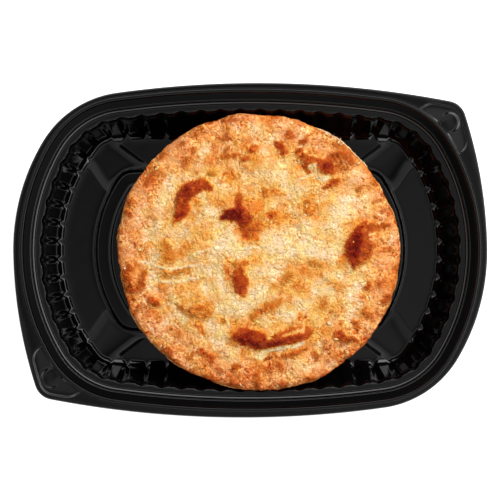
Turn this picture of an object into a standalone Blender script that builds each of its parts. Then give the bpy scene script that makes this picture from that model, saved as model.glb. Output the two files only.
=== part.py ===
"""Beef pot pie in its black serving tray: a whole round pie, and the fluted two-tab tray it stands in.

Metres, +Z up. The origin is on the table, under the middle of the tray. +X runs along the
tray's length, and one lift tab is at the +X +Y corner, the other at the -X -Y corner.
"""
import math

import bmesh
import bpy
import numpy as np
from mathutils import Vector, noise

SHARP_ANGLE = 40.0               # edges bent more than this many degrees are shaded sharp

# ---------------------------------------------------------------- tray: outlines seen from above
# An outline's first half is a row of arcs (degrees turned, radius), from the -X end round to the
# +X end. Its second half is the first, turned by half a circle.
BRIM_ARCS = ((16.7, 0.2387), (61.4, 0.0104), (18.7, 0.5304), (51.4, 0.0527), (31.8, 0.1089))
BRIM_HEADING = -88.87            # direction of the first arc, degrees from +X
# The inner outlines are ovals with flattened sides: half length, half width, and the radii of
# the ends, the long sides and the corners.
LEDGE_OVAL = (0.1085, 0.0727, 0.0998, 0.5090, 0.0360)
FLOOR_OVAL = (0.1007, 0.0614, 0.0897, 1.4000, 0.0124)
PLATFORM_OVAL = (0.0832, 0.0440, 0.0900, 1.4000, 0.0105)
OUTLINE_STEP = 0.0008
DIRECTION_REACH = 0.0006         # an outline's direction is taken across twice this
SAME_SHARE = 0.0002              # ring stations closer than this share are level with each other

# ---------------------------------------------------------------- tray: heights and widths
TRAY_WALL = 0.0006
BRIM_TOP = 0.0450
# The skirt and the brim's rolled edge: inwards from the brim's outline, and below the brim's top.
EDGE_SECTION = ((-0.0004, 0.0044), (0.0000, 0.0012), (0.0008, 0.0002), (0.0020, 0.0000))
# From the bead's foot over the bead and down two steps to the ledge: outwards from the ledge's
# edge, and height.
RIM_SECTION = ((0.0104, 0.0451), (0.0094, 0.0460), (0.0084, 0.0456), (0.0052, 0.0418),
               (0.0046, 0.0410), (0.0034, 0.0409), (0.0028, 0.0395))
LEDGE_TOP = 0.0394
FLOOR_TOP = 0.0018
# The fluted wall: share of the way from the ledge's edge to the floor's, and height above the floor.
WALL_SECTION = ((0.00, LEDGE_TOP - FLOOR_TOP), (0.10, 0.0362), (0.95, 0.0016), (1.02, 0.0004))
FLOOR_FILLET = (0.0020, 0.0038)  # inwards from the floor's edge
# The platform's two steps: inwards from the platform's outline, and height above the floor.
PLATFORM_SECTION = ((-0.0016, 0.0000), (0.0000, 0.0000), (0.0009, 0.0015), (0.0077, 0.0015),
                    (0.0086, 0.0030))
FOOT_DROP = 0.0012               # the corner feet hang below the floor by this

# ---------------------------------------------------------------- tray: flutes, feet and tabs
FLUTES = 60
GROOVE_SHARE = 0.20              # half a groove's width, as a share of the pitch
GROOVE_DEPTHS = (0.0010, 0.0010, 0.0018, 0.0000)   # at each level of the wall's section
RIB_BULGE = 0.0002
RIM_STATIONS = 96
TAB_STATIONS = 7                 # stations added round each tab
FOOT_ON_FLOOR = ((0.0863, 0.0459), (0.0675, 0.0595))
FOOT_ON_PLATFORM = ((0.0760, 0.0326), (0.0585, 0.0457))
FOOT_BEVEL = 0.0022
FOOT_STATIONS = (0.3, 0.5, 0.7)  # along each foot, between its bevels
RUN_STATIONS = (10, 6)           # between the feet, on the long sides and at the ends
TAB_CENTRE = (0.1022, 0.0668)
TAB_POCKET_DEPTH = 0.0014
TAB_POCKET_RADIUS = 0.0125
TAB_POCKET_SLOPE = 0.0078        # width of the pocket's sloping edge

# ---------------------------------------------------------------- pie
PIE_CENTRE = (0.0046, -0.0012)
PIE_GAP = 0.0003                 # between the base and the platform
PIE_RIM_RADIUS = 0.0722
PIE_SECTORS = 64
RIM_UNDERSIDE = 0.0340           # height above the base at which the crust's relief starts
RELIEF_BLEND = 0.0056            # and over which it comes to its full height
# Half section of the pie from the middle of the top, over the rim and down to the base:
# radius, and height above the base.
PIE_SECTION = (
    (0.0000, 0.0430), (0.0050, 0.0430), (0.0100, 0.0429), (0.0150, 0.0428), (0.0200, 0.0426),
    (0.0250, 0.0424), (0.0300, 0.0421), (0.0350, 0.0418), (0.0400, 0.0414), (0.0450, 0.0410),
    (0.0500, 0.0406), (0.0550, 0.0403), (0.0600, 0.0401), (0.0645, 0.0400), (0.0684, 0.0396),
    (0.0710, 0.0387), (0.0722, 0.0374), (0.0719, 0.0360), (0.0701, 0.0352), (0.0680, 0.0343),
    (0.0664, 0.0300), (0.0634, 0.0200), (0.0604, 0.0100), (0.0590, 0.0045), (0.0574, 0.0014),
    (0.0545, 0.0000), (0.0300, 0.0000), (0.0000, 0.0000))
# The rim's wander from a true circle: waves round the pie, size, and direction of the first crest.
RIM_WANDER = ((1, 0.0006, 171.0), (2, 0.0010, -21.0), (3, 0.0003, -5.0), (5, 0.0003, 1.0),
              (7, 0.0002, 7.0))
TOP_UNEVEN = 0.0007
SIDE_UNEVEN = 0.0004
UNEVEN_SCALE = 60.0
# Blisters and crags: centre from the pie's middle, half length, half width, direction of the
# length in degrees, sideways bend of the ends, and height. They fall away from the middle as
# exp(-BLISTER_FALL * spread ** BLISTER_POWER).
BLISTER_FALL = 0.9
BLISTER_POWER = 1.5
BLISTERS = (
    ((-0.0380, 0.0290), 0.0125, 0.0030, 48.0, -0.0035, 0.0019),
    ((-0.0107, 0.0200), 0.0085, 0.0045, -20.0, 0.0010, 0.0022),
    ((-0.0099, -0.0129), 0.0085, 0.0042, 92.0, 0.0000, 0.0017),
    ((0.0520, 0.0036), 0.0110, 0.0062, 75.0, 0.0010, 0.0024),
    ((0.0035, -0.0450), 0.0185, 0.0042, 2.0, 0.0030, 0.0020),
    ((0.0296, 0.0464), 0.0105, 0.0045, -30.0, -0.0010, 0.0016),
    ((0.0435, 0.0485), 0.0070, 0.0035, -25.0, 0.0000, 0.0009),
    ((-0.0545, -0.0253), 0.0042, 0.0030, 0.0, 0.0000, 0.0010),
    ((-0.0318, -0.0304), 0.0075, 0.0032, -15.0, 0.0000, 0.0009),
    ((0.0440, -0.0439), 0.0050, 0.0036, 20.0, 0.0000, 0.0010))


# ---------------------------------------------------------------- outlines
def oval_arcs(half_length, half_width, end_radius, side_radius, corner_radius):
    """Arcs (degrees turned, radius) of half an oval with flattened sides."""
    end_centre = -half_length + end_radius
    side_centre = half_width - side_radius
    to_end = end_radius - corner_radius
    to_side = side_radius - corner_radius
    # The corner's centre is that far from both, so it is where two circles meet.
    apart = math.hypot(end_centre, side_centre)
    along = (to_end ** 2 - to_side ** 2 + apart ** 2) / (2.0 * apart)
    across = math.sqrt(to_end ** 2 - along ** 2)
    towards = (-end_centre / apart, side_centre / apart)
    corner_x = end_centre + along * towards[0] + across * towards[1]
    corner_y = along * towards[1] - across * towards[0]
    end_turn = math.degrees(math.atan2(corner_y, end_centre - corner_x))
    side_turn = math.degrees(math.atan2(-corner_x, corner_y - side_centre))
    corner_turn = 90.0 - end_turn - side_turn
    return ((end_turn, end_radius), (corner_turn, corner_radius), (2.0 * side_turn, side_radius),
            (corner_turn, corner_radius), (end_turn, end_radius))


class Outline:
    """A closed outline made of arcs, with its length and its inward direction at each point."""

    def __init__(self, arcs, heading=-90.0):
        heading = math.radians(heading)
        point = np.zeros(2)
        points = [point]
        for degrees, radius in arcs:
            turn = math.radians(degrees)
            count = max(6, round(turn * radius / OUTLINE_STEP))
            for _ in range(count):
                ahead = heading + turn / count
                point = point + radius * np.array([math.sin(ahead) - math.sin(heading),
                                                   math.cos(heading) - math.cos(ahead)])
                points.append(point)
                heading = ahead
        half = np.array(points) - (points[0] + points[-1]) / 2.0
        self.points = np.vstack([half, -half[1:]])
        steps = np.hypot(*np.diff(self.points, axis=0).T)
        self.lengths = np.concatenate([[0.0], np.cumsum(steps)])
        self.length = self.lengths[-1]

    def at(self, share):
        """The point this share of the way round, from the -X end towards -Y."""
        travel = (share % 1.0) * self.length
        return np.array([np.interp(travel, self.lengths, self.points[:, k]) for k in (0, 1)])

    def inward(self, share):
        """The direction into the outline at this share of the way round."""
        reach = DIRECTION_REACH / self.length
        along = self.at(share + reach) - self.at(share - reach)
        return np.array([-along[1], along[0]]) / np.hypot(*along)

    def nearest_share(self, point):
        """The share of the way round at which the outline passes closest to a point."""
        away = np.hypot(*(self.points - np.array(point)).T)
        return self.lengths[away.argmin()] / self.length

    def crossing(self, start, direction):
        """How far along a line from start the outline is crossed, and the share at that place."""
        side = np.array([-direction[1], direction[0]])
        offset = (self.points - start) @ side
        travel = (self.points - start) @ direction
        hits = []
        for k in np.nonzero(offset[:-1] * offset[1:] <= 0.0)[0]:
            span = offset[k] - offset[k + 1]
            mix = offset[k] / span if span else 0.0
            hits.append((travel[k] + mix * (travel[k + 1] - travel[k]), self.lengths[k] / self.length))
        return min(hits, key=lambda hit: abs(hit[0]))


# ---------------------------------------------------------------- loft
def add_ring(mesh, shares, points):
    """A closed ring of vertices, each with its share of the way round."""
    return [(share, mesh.verts.new(point)) for share, point in zip(shares, points)]


def add_band(mesh, outer, inner):
    """Faces between two rings, which may have unlike numbers of vertices."""
    outer = outer + [(outer[0][0] + 1.0, outer[0][1])]
    inner = inner + [(inner[0][0] + 1.0, inner[0][1])]
    i, j = 0, 0
    while i + 1 < len(outer) or j + 1 < len(inner):
        here_out, here_in = outer[i], inner[j]
        next_out = outer[min(i + 1, len(outer) - 1)]
        next_in = inner[min(j + 1, len(inner) - 1)]
        level = abs(here_out[0] - here_in[0]) + abs(next_out[0] - next_in[0]) < SAME_SHARE
        if level and next_out is not here_out:
            mesh.faces.new((here_out[1], next_out[1], next_in[1], here_in[1]))
            i += 1
            j += 1
        elif next_in is here_in or (next_out is not here_out
                                    and abs(next_out[0] - here_in[0]) < abs(next_in[0] - here_out[0])):
            mesh.faces.new((here_out[1], next_out[1], here_in[1]))
            i += 1
        else:
            mesh.faces.new((here_out[1], next_in[1], here_in[1]))
            j += 1


# ---------------------------------------------------------------- tray
def rim_shares(tabs):
    """Even stations round the rim, with extra ones at the two tabs."""
    shares = [k / RIM_STATIONS for k in range(RIM_STATIONS)]
    for tab in tabs:
        for k in range(TAB_STATIONS):
            shares.append((math.floor(tab * RIM_STATIONS) - TAB_STATIONS // 2 + k + 0.5) / RIM_STATIONS)
    return sorted(shares)


def flute_marks():
    """Three stations for each flute: a groove's middle between its two shoulders."""
    marks = []
    for flute in range(FLUTES):
        for shift in (-GROOVE_SHARE, 0.0, GROOVE_SHARE):
            marks.append(((flute + 0.5 + shift) / FLUTES, shift == 0.0))
    return marks


def smooth_step(value):
    value = min(1.0, max(0.0, value))
    return value * value * (3.0 - 2.0 * value)


def foot_weight(outline, share, keys):
    """1 on a corner foot, 0 away from it, with a bevel between."""
    point = outline.at(share)
    best = 0.0
    for sign_x in (-1.0, 1.0):
        for sign_y in (-1.0, 1.0):
            ends = [np.array([sign_x * x, sign_y * y]) for x, y in keys]
            middle = (ends[0] + ends[1]) / 2.0
            half_width = np.hypot(*(ends[0] - ends[1])) / 2.0
            away = half_width - np.hypot(*(point - middle))
            best = max(best, smooth_step(away / FOOT_BEVEL + 0.5))
    return best


def pocket_weight(point):
    """How far a place on the brim lies in a tab's pocket, from 0 to 1."""
    away = min(math.hypot(point[0] - side * TAB_CENTRE[0], point[1] - side * TAB_CENTRE[1])
               for side in (-1.0, 1.0))
    return smooth_step((TAB_POCKET_RADIUS - away) / TAB_POCKET_SLOPE)


def foot_stations(outline, keys):
    """Stations of the floor rings: even runs between the feet, and bevels at their edges."""
    bevel = FOOT_BEVEL / outline.length
    edges = []
    for sign_x, sign_y in ((-1.0, -1.0), (1.0, -1.0), (1.0, 1.0), (-1.0, 1.0)):
        pair = [outline.nearest_share((sign_x * x, sign_y * y)) for x, y in keys]
        edges.append(sorted(pair))
    shares = []
    for k, (low, high) in enumerate(edges):
        following = edges[(k + 1) % 4][0] + (1.0 if k == 3 else 0.0)
        run = RUN_STATIONS[k % 2]
        shares += [low - bevel / 2.0, low + bevel / 2.0]
        shares += [low + (high - low) * part for part in FOOT_STATIONS]
        shares += [high - bevel / 2.0, high + bevel / 2.0]
        gap = following - high
        shares += [high + gap * (m + 1) / (run + 1) for m in range(run)]
    return [share % 1.0 for share in shares]


def build_tray_skin():
    """The tray's upper skin, from the skirt's lower edge in to the middle of the platform."""
    brim = Outline(BRIM_ARCS, BRIM_HEADING)
    ledge = Outline(oval_arcs(*LEDGE_OVAL))
    floor = Outline(oval_arcs(*FLOOR_OVAL))
    platform = Outline(oval_arcs(*PLATFORM_OVAL))
    tabs = [ledge.nearest_share((side * TAB_CENTRE[0], side * TAB_CENTRE[1])) for side in (-1.0, 1.0)]
    mesh = bmesh.new()

    # Rim: rings a set distance outside the ledge's edge, then rings a set distance inside the brim's.
    shares = rim_shares(tabs)
    starts = [ledge.at(share) for share in shares]
    inwards = [ledge.inward(share) for share in shares]
    reaches = [brim.crossing(start, inward)[0] for start, inward in zip(starts, inwards)]

    def brim_ring(inset, height, pocket):
        points = []
        for start, inward, reach in zip(starts, inwards, reaches):
            x, y = start + inward * (reach + inset)
            points.append((x, y, height - pocket * TAB_POCKET_DEPTH * pocket_weight((x, y))))
        return add_ring(mesh, shares, points)

    def middle_ring():
        points = []
        for start, inward, reach in zip(starts, inwards, reaches):
            x, y = start + inward * (reach + EDGE_SECTION[-1][0] - RIM_SECTION[0][0]) / 2.0
            points.append((x, y, BRIM_TOP - TAB_POCKET_DEPTH * pocket_weight((x, y))))
        return add_ring(mesh, shares, points)

    def rim_ring(outset, height):
        points = [(*(start - inward * outset), height) for start, inward in zip(starts, inwards)]
        return add_ring(mesh, shares, points)

    rings = []
    for inset, drop in EDGE_SECTION:
        rings.append(brim_ring(inset, BRIM_TOP - drop, 1.0 if drop == 0.0 else 0.0))
    rings.append(middle_ring())
    for outset, height in RIM_SECTION:
        rings.append(rim_ring(outset, height))

    # Wall: the fluted rings, between the ledge's edge and the floor's edge.
    marks = flute_marks()
    shares = [share for share, _ in marks]
    starts = [ledge.at(share) for share in shares]
    inwards = [ledge.inward(share) for share in shares]
    drops = [floor.crossing(start, inward) for start, inward in zip(starts, inwards)]
    places = [place - round(place - share) for share, (_, place) in zip(shares, drops)]
    feet = [foot_weight(floor, place, FOOT_ON_FLOOR) for place in places]

    def wall_ring(part, height, groove, foot_drop):
        points = []
        for start, inward, (reach, _), (_, in_groove), foot in zip(starts, inwards, drops, marks, feet):
            wave = groove if in_groove else -RIB_BULGE
            place = start + inward * (reach * part - wave)
            points.append((*place, FLOOR_TOP + height - foot_drop * foot))
        return add_ring(mesh, shares, points)

    for (part, height), groove in zip(WALL_SECTION, GROOVE_DEPTHS):
        rings.append(wall_ring(part, height, groove, FOOT_DROP if part > 0.5 else 0.0))
    for outer, inner in zip(rings, rings[1:]):
        add_band(mesh, outer, inner)
    wall_foot = [(place, vertex) for place, (_, vertex) in zip(places, rings[-1])]

    # Floor: rings with stations at the edges of the corner feet.
    stations = sorted(zip(foot_stations(floor, FOOT_ON_FLOOR), foot_stations(platform, FOOT_ON_PLATFORM)))
    floor_shares = [share for share, _ in stations]
    platform_shares = [share for _, share in stations]
    floor_feet = [foot_weight(floor, share, FOOT_ON_FLOOR) for share in floor_shares]
    platform_feet = [foot_weight(platform, share, FOOT_ON_PLATFORM) for share in platform_shares]

    def floor_ring(outline, shares_here, feet_here, inset, height):
        points = []
        for share, foot in zip(shares_here, feet_here):
            place = outline.at(share) + outline.inward(share) * inset
            points.append((*place, height - foot * FOOT_DROP))
        return add_ring(mesh, floor_shares, points)

    rings = [wall_foot]
    for inset in FLOOR_FILLET:
        rings.append(floor_ring(floor, floor_shares, floor_feet, inset, FLOOR_TOP))
    for inset, height in PLATFORM_SECTION:
        feet_here = platform_feet if height == 0.0 else [0.0] * len(platform_feet)
        rings.append(floor_ring(platform, platform_shares, feet_here, inset, FLOOR_TOP + height))
    for outer, inner in zip(rings, rings[1:]):
        add_band(mesh, outer, inner)
    mesh.faces.new([vertex for _, vertex in rings[-1]])
    return mesh


def build_tray(collection):
    """The tray: its upper skin, thickened downwards to one thin shell."""
    mesh = build_tray_skin()
    bmesh.ops.recalc_face_normals(mesh, faces=mesh.faces)
    if sum(face.normal.z * face.calc_area() for face in mesh.faces) < 0.0:
        bmesh.ops.reverse_faces(mesh, faces=mesh.faces)
    tray = new_object("tray", mesh, collection)
    shell = tray.modifiers.new("wall", "SOLIDIFY")
    shell.thickness = TRAY_WALL
    shell.offset = -1.0
    shell.use_even_offset = False
    tray.data.materials.append(make_material("tray_black_plastic", (0.012, 0.012, 0.013), 0.16))
    return tray


# ---------------------------------------------------------------- pie
def blister_height(x, y):
    """Height of the blisters and crags at a place on the crust."""
    total = 0.0
    for (centre_x, centre_y), half_length, half_width, degrees, bend, height in BLISTERS:
        turn = math.radians(degrees)
        along = (x - centre_x) * math.cos(turn) + (y - centre_y) * math.sin(turn)
        across = (y - centre_y) * math.cos(turn) - (x - centre_x) * math.sin(turn)
        across -= bend * (along / half_length) ** 2
        spread = (along / half_length) ** 2 + (across / half_width) ** 2
        total += height * math.exp(-BLISTER_FALL * spread ** BLISTER_POWER)
    return total


def rim_wander(angle):
    """How far the rim stands out of a true circle, in the direction of an angle."""
    return sum(size * math.cos(waves * (angle - math.radians(crest)))
               for waves, size, crest in RIM_WANDER)


def build_pie(collection):
    """The pie: a turned section, then the rim's wander and the crust's relief."""
    base = FLOOR_TOP + PLATFORM_SECTION[-1][1] + PIE_GAP
    section = bmesh.new()
    knots = [section.verts.new((radius, 0.0, height)) for radius, height in PIE_SECTION]
    for one, other in zip(knots, knots[1:]):
        section.edges.new((one, other))
    turned = new_object("pie_section", section, collection)
    screw = turned.modifiers.new("turn", "SCREW")
    screw.steps = PIE_SECTORS
    screw.render_steps = PIE_SECTORS
    screw.use_merge_vertices = True
    screw.merge_threshold = 0.00001
    bpy.context.view_layer.update()
    seen = turned.evaluated_get(bpy.context.evaluated_depsgraph_get())
    mesh = bmesh.new()
    mesh.from_mesh(seen.to_mesh())
    bpy.data.objects.remove(turned)

    for vertex in mesh.verts:
        x, y, z = vertex.co
        radius = math.hypot(x, y)
        angle = math.atan2(y, x)
        out = (radius / PIE_RIM_RADIUS) ** 2 * rim_wander(angle)
        grain = 2.0 * noise.noise(Vector((x, y, z)) * UNEVEN_SCALE)
        if z > 0.0:
            out += SIDE_UNEVEN * grain * radius / PIE_RIM_RADIUS
        if radius > 0.0:
            x *= (radius + out) / radius
            y *= (radius + out) / radius
        crust = smooth_step((z - RIM_UNDERSIDE) / RELIEF_BLEND)
        z += crust * (TOP_UNEVEN * grain + blister_height(x, y))
        vertex.co = (x + PIE_CENTRE[0], y + PIE_CENTRE[1], z + base)
    pie = new_object("pie", mesh, collection)
    pie.data.materials.append(make_material("pie_baked_crust", (0.62, 0.36, 0.13), 0.55))
    return pie


# ---------------------------------------------------------------- scene
def new_object(name, mesh, collection):
    data = bpy.data.meshes.new(name)
    mesh.to_mesh(data)
    mesh.free()
    data.shade_smooth()
    data.set_sharp_from_angle(angle=math.radians(SHARP_ANGLE))
    made = bpy.data.objects.new(name, data)
    collection.objects.link(made)
    return made


def make_material(name, colour, roughness):
    material = bpy.data.materials.new(name)
    material.use_nodes = True
    shader = material.node_tree.nodes["Principled BSDF"]
    shader.inputs["Base Color"].default_value = (*colour, 1.0)
    shader.inputs["Roughness"].default_value = roughness
    shader.inputs["Metallic"].default_value = 0.0
    material.diffuse_color = (*colour, 1.0)
    return material


def main():
    for old in list(bpy.data.objects):
        bpy.data.objects.remove(old)
    collection = bpy.data.collections.new("beef_pot_pie")
    bpy.context.scene.collection.children.link(collection)
    build_tray(collection)
    build_pie(collection)


main()
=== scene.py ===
# %% [markdown]
# # A beef pot pie in its serving tray
# The object is a whole round pie, baked until its flat top crust blistered, and lifted into a deep
# black tray. The tray is one thin sheet of plastic, drawn down into a mould: a flat brim with two
# lift tabs, a bead, two small steps, a wall of sixty flutes, and a floor with four feet and a low
# platform. This script loads the two plain solids, builds a finer mesh for each of them, and gives
# both their finish. Lengths are in metres, +Z is up, and +X runs along the tray.

import math
import random

import bpy
import numpy as np
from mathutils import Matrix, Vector, noise


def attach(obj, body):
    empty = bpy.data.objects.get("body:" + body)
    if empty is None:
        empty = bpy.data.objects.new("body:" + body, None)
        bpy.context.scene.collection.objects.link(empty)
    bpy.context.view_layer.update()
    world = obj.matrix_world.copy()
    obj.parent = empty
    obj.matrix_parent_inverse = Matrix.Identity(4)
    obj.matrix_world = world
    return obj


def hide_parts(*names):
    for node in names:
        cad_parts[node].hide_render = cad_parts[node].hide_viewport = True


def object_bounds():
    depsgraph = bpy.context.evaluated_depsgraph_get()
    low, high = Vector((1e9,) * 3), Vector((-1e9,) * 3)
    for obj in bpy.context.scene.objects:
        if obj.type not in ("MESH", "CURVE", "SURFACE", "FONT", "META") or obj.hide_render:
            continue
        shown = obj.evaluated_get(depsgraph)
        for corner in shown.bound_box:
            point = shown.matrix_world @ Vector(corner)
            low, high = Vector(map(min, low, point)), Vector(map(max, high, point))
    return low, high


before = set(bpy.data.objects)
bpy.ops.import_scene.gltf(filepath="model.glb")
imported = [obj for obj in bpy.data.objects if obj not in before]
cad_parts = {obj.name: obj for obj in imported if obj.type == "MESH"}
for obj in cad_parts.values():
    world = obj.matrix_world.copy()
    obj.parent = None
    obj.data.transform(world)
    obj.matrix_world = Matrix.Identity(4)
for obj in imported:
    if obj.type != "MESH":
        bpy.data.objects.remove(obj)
plain_low, plain_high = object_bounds()
MM = 0.001
plain_size = [round(float(side) / MM, 1) for side in plain_high - plain_low]
print(len(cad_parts), "plain solids,", plain_size, "mm in all")

# %% [markdown]
# ## The outlines of the tray
# Seen from above, the tray is a family of ovals: the brim outside, the ledge at the top of the
# wall, the floor at its foot, and the platform in its middle. Straight lines and single circles
# would both look wrong here, because a moulded tray is drawn with arcs that flow into each other.
# So an outline is a row of arcs, each given as degrees turned and a radius, and the second half is
# the first half turned by half a circle. That keeps every outline down to a few numbers, and it
# stays smooth however finely it is sampled.

# %% Arcs to outlines
OUTLINE_STEP = 0.2 * MM
LEAST_STEPS = 6
MEASURED_SAMPLES = 4
# Keeps a division going where two samples give the same value.
TINY = 1e-12


class Outline:
    """A closed outline made of arcs, sampled finely, with its inward direction at each sample."""

    def __init__(self, arcs, heading=-90.0):
        heading = math.radians(heading)
        point = np.zeros(2)
        points, headings = [point], [heading]
        for degrees, radius in arcs:
            turn = math.radians(degrees)
            count = max(LEAST_STEPS, round(turn * radius / OUTLINE_STEP))
            for _ in range(count):
                ahead = heading + turn / count
                point = point + radius * np.array([math.sin(ahead) - math.sin(heading),
                                                   math.cos(heading) - math.cos(ahead)])
                points.append(point)
                headings.append(ahead)
                heading = ahead
        half = np.array(points) - (points[0] + points[-1]) / 2.0
        self.points = np.vstack([half, -half[1:]])
        self.headings = np.concatenate([headings, np.array(headings[1:]) + math.pi])
        steps = np.hypot(*np.diff(self.points, axis=0).T)
        self.lengths = np.concatenate([[0.0], np.cumsum(steps)])
        self.length = self.lengths[-1]

    def at(self, shares):
        """Points at these shares of the way round, from the -X end towards -Y."""
        travel = (np.asarray(shares) % 1.0) * self.length
        return np.stack([np.interp(travel, self.lengths, self.points[:, k]) for k in (0, 1)], -1)

    def inward(self, shares):
        """Unit directions into the outline at these shares of the way round."""
        travel = (np.asarray(shares) % 1.0) * self.length
        heading = np.interp(travel, self.lengths, self.headings)
        return np.stack([-np.sin(heading), np.cos(heading)], axis=-1)

    def nearest_share(self, point):
        """The share of the way round at the sample nearest to a point."""
        away = np.hypot(*(self.points - np.array(point)).T)
        return self.lengths[away.argmin()] / self.length

    def distance(self, spots):
        """How far each of these spots lies from the outline, measured to every few samples."""
        best = np.full(len(spots), np.inf)
        for sample in self.points[::MEASURED_SAMPLES]:
            best = np.minimum(best, np.hypot(*(spots - sample).T))
        return best

    def crossing(self, start, direction):
        """How far along a line from start this outline is met, and the share at that place."""
        side = np.array([-direction[1], direction[0]])
        offset = (self.points - start) @ side
        travel = (self.points - start) @ direction
        met = np.nonzero(offset[:-1] * offset[1:] <= 0.0)[0]
        mix = offset[met] / (offset[met] - offset[met + 1] + TINY)
        reach = travel[met] + mix * (travel[met + 1] - travel[met])
        nearest = np.abs(reach).argmin()
        met_lengths = self.lengths[met] + mix * (self.lengths[met + 1] - self.lengths[met])
        return reach[nearest], met_lengths[nearest] / self.length


ring_of_10 = Outline(((180.0, 10.0 * MM),))
print("a circle of 10 mm radius measures", round(ring_of_10.length / MM, 1), "mm round")

# %% The tray's own outlines
# The brim's arcs, from the -X end to the +X end: degrees turned, and radius.
BRIM_ARCS = ((16.7, 238.7 * MM), (61.4, 10.4 * MM), (18.7, 530.4 * MM), (51.4, 52.7 * MM),
             (31.8, 108.9 * MM))
BRIM_HEADING = -88.87
# Half length, half width, and the radii of the ends, the long sides and the corners.
LEDGE_OVAL = (108.5 * MM, 72.7 * MM, 99.8 * MM, 509.0 * MM, 36.0 * MM)
FLOOR_OVAL = (100.7 * MM, 61.4 * MM, 89.7 * MM, 1400.0 * MM, 12.4 * MM)
PLATFORM_OVAL = (82.0 * MM, 43.2 * MM, 66.5 * MM, 1400.0 * MM, 9.5 * MM)


def oval_arcs(half_length, half_width, end_radius, side_radius, corner_radius):
    """Arcs of half an oval: an end, a corner, a long side, a corner, and an end."""
    end_centre = -half_length + end_radius
    side_centre = half_width - side_radius
    to_end = end_radius - corner_radius
    to_side = side_radius - corner_radius
    apart = math.hypot(end_centre, side_centre)
    along = (to_end ** 2 - to_side ** 2 + apart ** 2) / (2.0 * apart)
    across = math.sqrt(to_end ** 2 - along ** 2)
    towards = (-end_centre / apart, side_centre / apart)
    corner_x = end_centre + along * towards[0] + across * towards[1]
    corner_y = along * towards[1] - across * towards[0]
    end_turn = math.degrees(math.atan2(corner_y, end_centre - corner_x))
    side_turn = math.degrees(math.atan2(-corner_x, corner_y - side_centre))
    corner_turn = 90.0 - end_turn - side_turn
    return ((end_turn, end_radius), (corner_turn, corner_radius), (2.0 * side_turn, side_radius),
            (corner_turn, corner_radius), (end_turn, end_radius))


brim = Outline(BRIM_ARCS, BRIM_HEADING)
ledge, floor, platform = [Outline(oval_arcs(*oval))
                          for oval in (LEDGE_OVAL, FLOOR_OVAL, PLATFORM_OVAL)]
for name, outline in (("brim", brim), ("ledge", ledge), ("floor", floor), ("platform", platform)):
    print(name, "outline is", round(outline.length / MM, 1), "mm round")

# %% [markdown]
# ## Stations round the tray
# Every ring of the tray's mesh needs its corners at matching stations, or the sheet twists. So
# rays run from the ledge, square to it, out to the brim and in to the floor, and each ring has a
# corner on every ray. Where the rays meet the brim and the floor is worked out once, in a table.

# %% Rays from the ledge
TABLE_SIZE = 2400

table_shares = np.arange(TABLE_SIZE + 1) / TABLE_SIZE
table_starts = ledge.at(table_shares)
table_inwards = ledge.inward(table_shares)
brim_reach, floor_reach, floor_share = [], [], []
for start, inward in zip(table_starts, table_inwards):
    brim_reach.append(brim.crossing(start, inward)[0])
    reach, share = floor.crossing(start, inward)
    floor_reach.append(reach)
    floor_share.append(share)
# The floor's share runs along with the ledge's, so it is made continuous past the whole turn.
floor_share = np.array(floor_share) - np.round(np.array(floor_share) - table_shares)


def ray(shares):
    """Start, inward direction, and distance to the brim and the floor, for rays at these shares."""
    wrapped = np.asarray(shares) % 1.0
    columns = (table_starts[:, 0], table_starts[:, 1], table_inwards[:, 0], table_inwards[:, 1],
               brim_reach, floor_reach)
    found = [np.interp(wrapped, table_shares, column) for column in columns]
    return np.stack(found[:2], -1), np.stack(found[2:4], -1), found[4], found[5]


print("the wall slopes in by", round(min(floor_reach) / MM, 1), "to",
      round(max(floor_reach) / MM, 1), "mm")

# %% [markdown]
# ## Flutes
# The wall is pressed into sixty flutes, each a flat rib and a V-shaped groove, which stiffen the
# thin sheet. Evenly spaced stations would cut their edges at random, so the stations are laid out
# flute by flute: half of them cross the groove and half the rib, and both get crisp edges. The
# grooves narrow from top to bottom, so the stations slide with them. The flutes beside the lift
# tabs get more stations, because the same rays also draw the tabs' small forms far outside.

# %% Stations by flute
FLUTES = 60
STATIONS_PER_FLUTE = 12
STATIONS_AT_TAB = 24
FLUTES_AT_TAB = 4
TAB_MIDDLE = np.array((102.2, 66.8)) * MM
# Half a groove's width as a share of a flute's, at the top of the wall and at its foot.
GROOVE_TOP, GROOVE_FOOT = 0.345, 0.19
GROOVE_ROUNDING = 0.22

tab_shares = [ledge.nearest_share(side * TAB_MIDDLE) for side in (-1, 1)]


def groove_section(across):
    """A V with a rounded bottom: 1 in the middle, 0 at both shoulders."""
    edge = math.sqrt(1.0 + GROOVE_ROUNDING ** 2)
    return (edge - np.sqrt(across ** 2 + GROOVE_ROUNDING ** 2)) / (edge - GROOVE_ROUNDING)


def stations(groove_half):
    """Shares of all stations, and each one's depth: 0 on a rib, 1 in the middle of a groove."""
    shares, depths = [], []
    for flute in range(FLUTES):
        at_tab = min(abs(flute + 0.5 - share * FLUTES) for share in tab_shares) < FLUTES_AT_TAB
        half = (STATIONS_AT_TAB if at_tab else STATIONS_PER_FLUTE) // 2
        across = np.linspace(-1.0, 1.0, half + 1)
        rib = np.arange(1, half) / half
        shares += list((flute + 0.5 + across * groove_half) / FLUTES)
        shares += list((flute + 0.5 + groove_half + rib * (1.0 - 2.0 * groove_half)) / FLUTES)
        depths += list(groove_section(across)) + [0.0] * (half - 1)
    return np.array(shares), np.array(depths)


print(FLUTES, "flutes,", len(stations(GROOVE_TOP)[0]), "stations round the tray")

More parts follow.
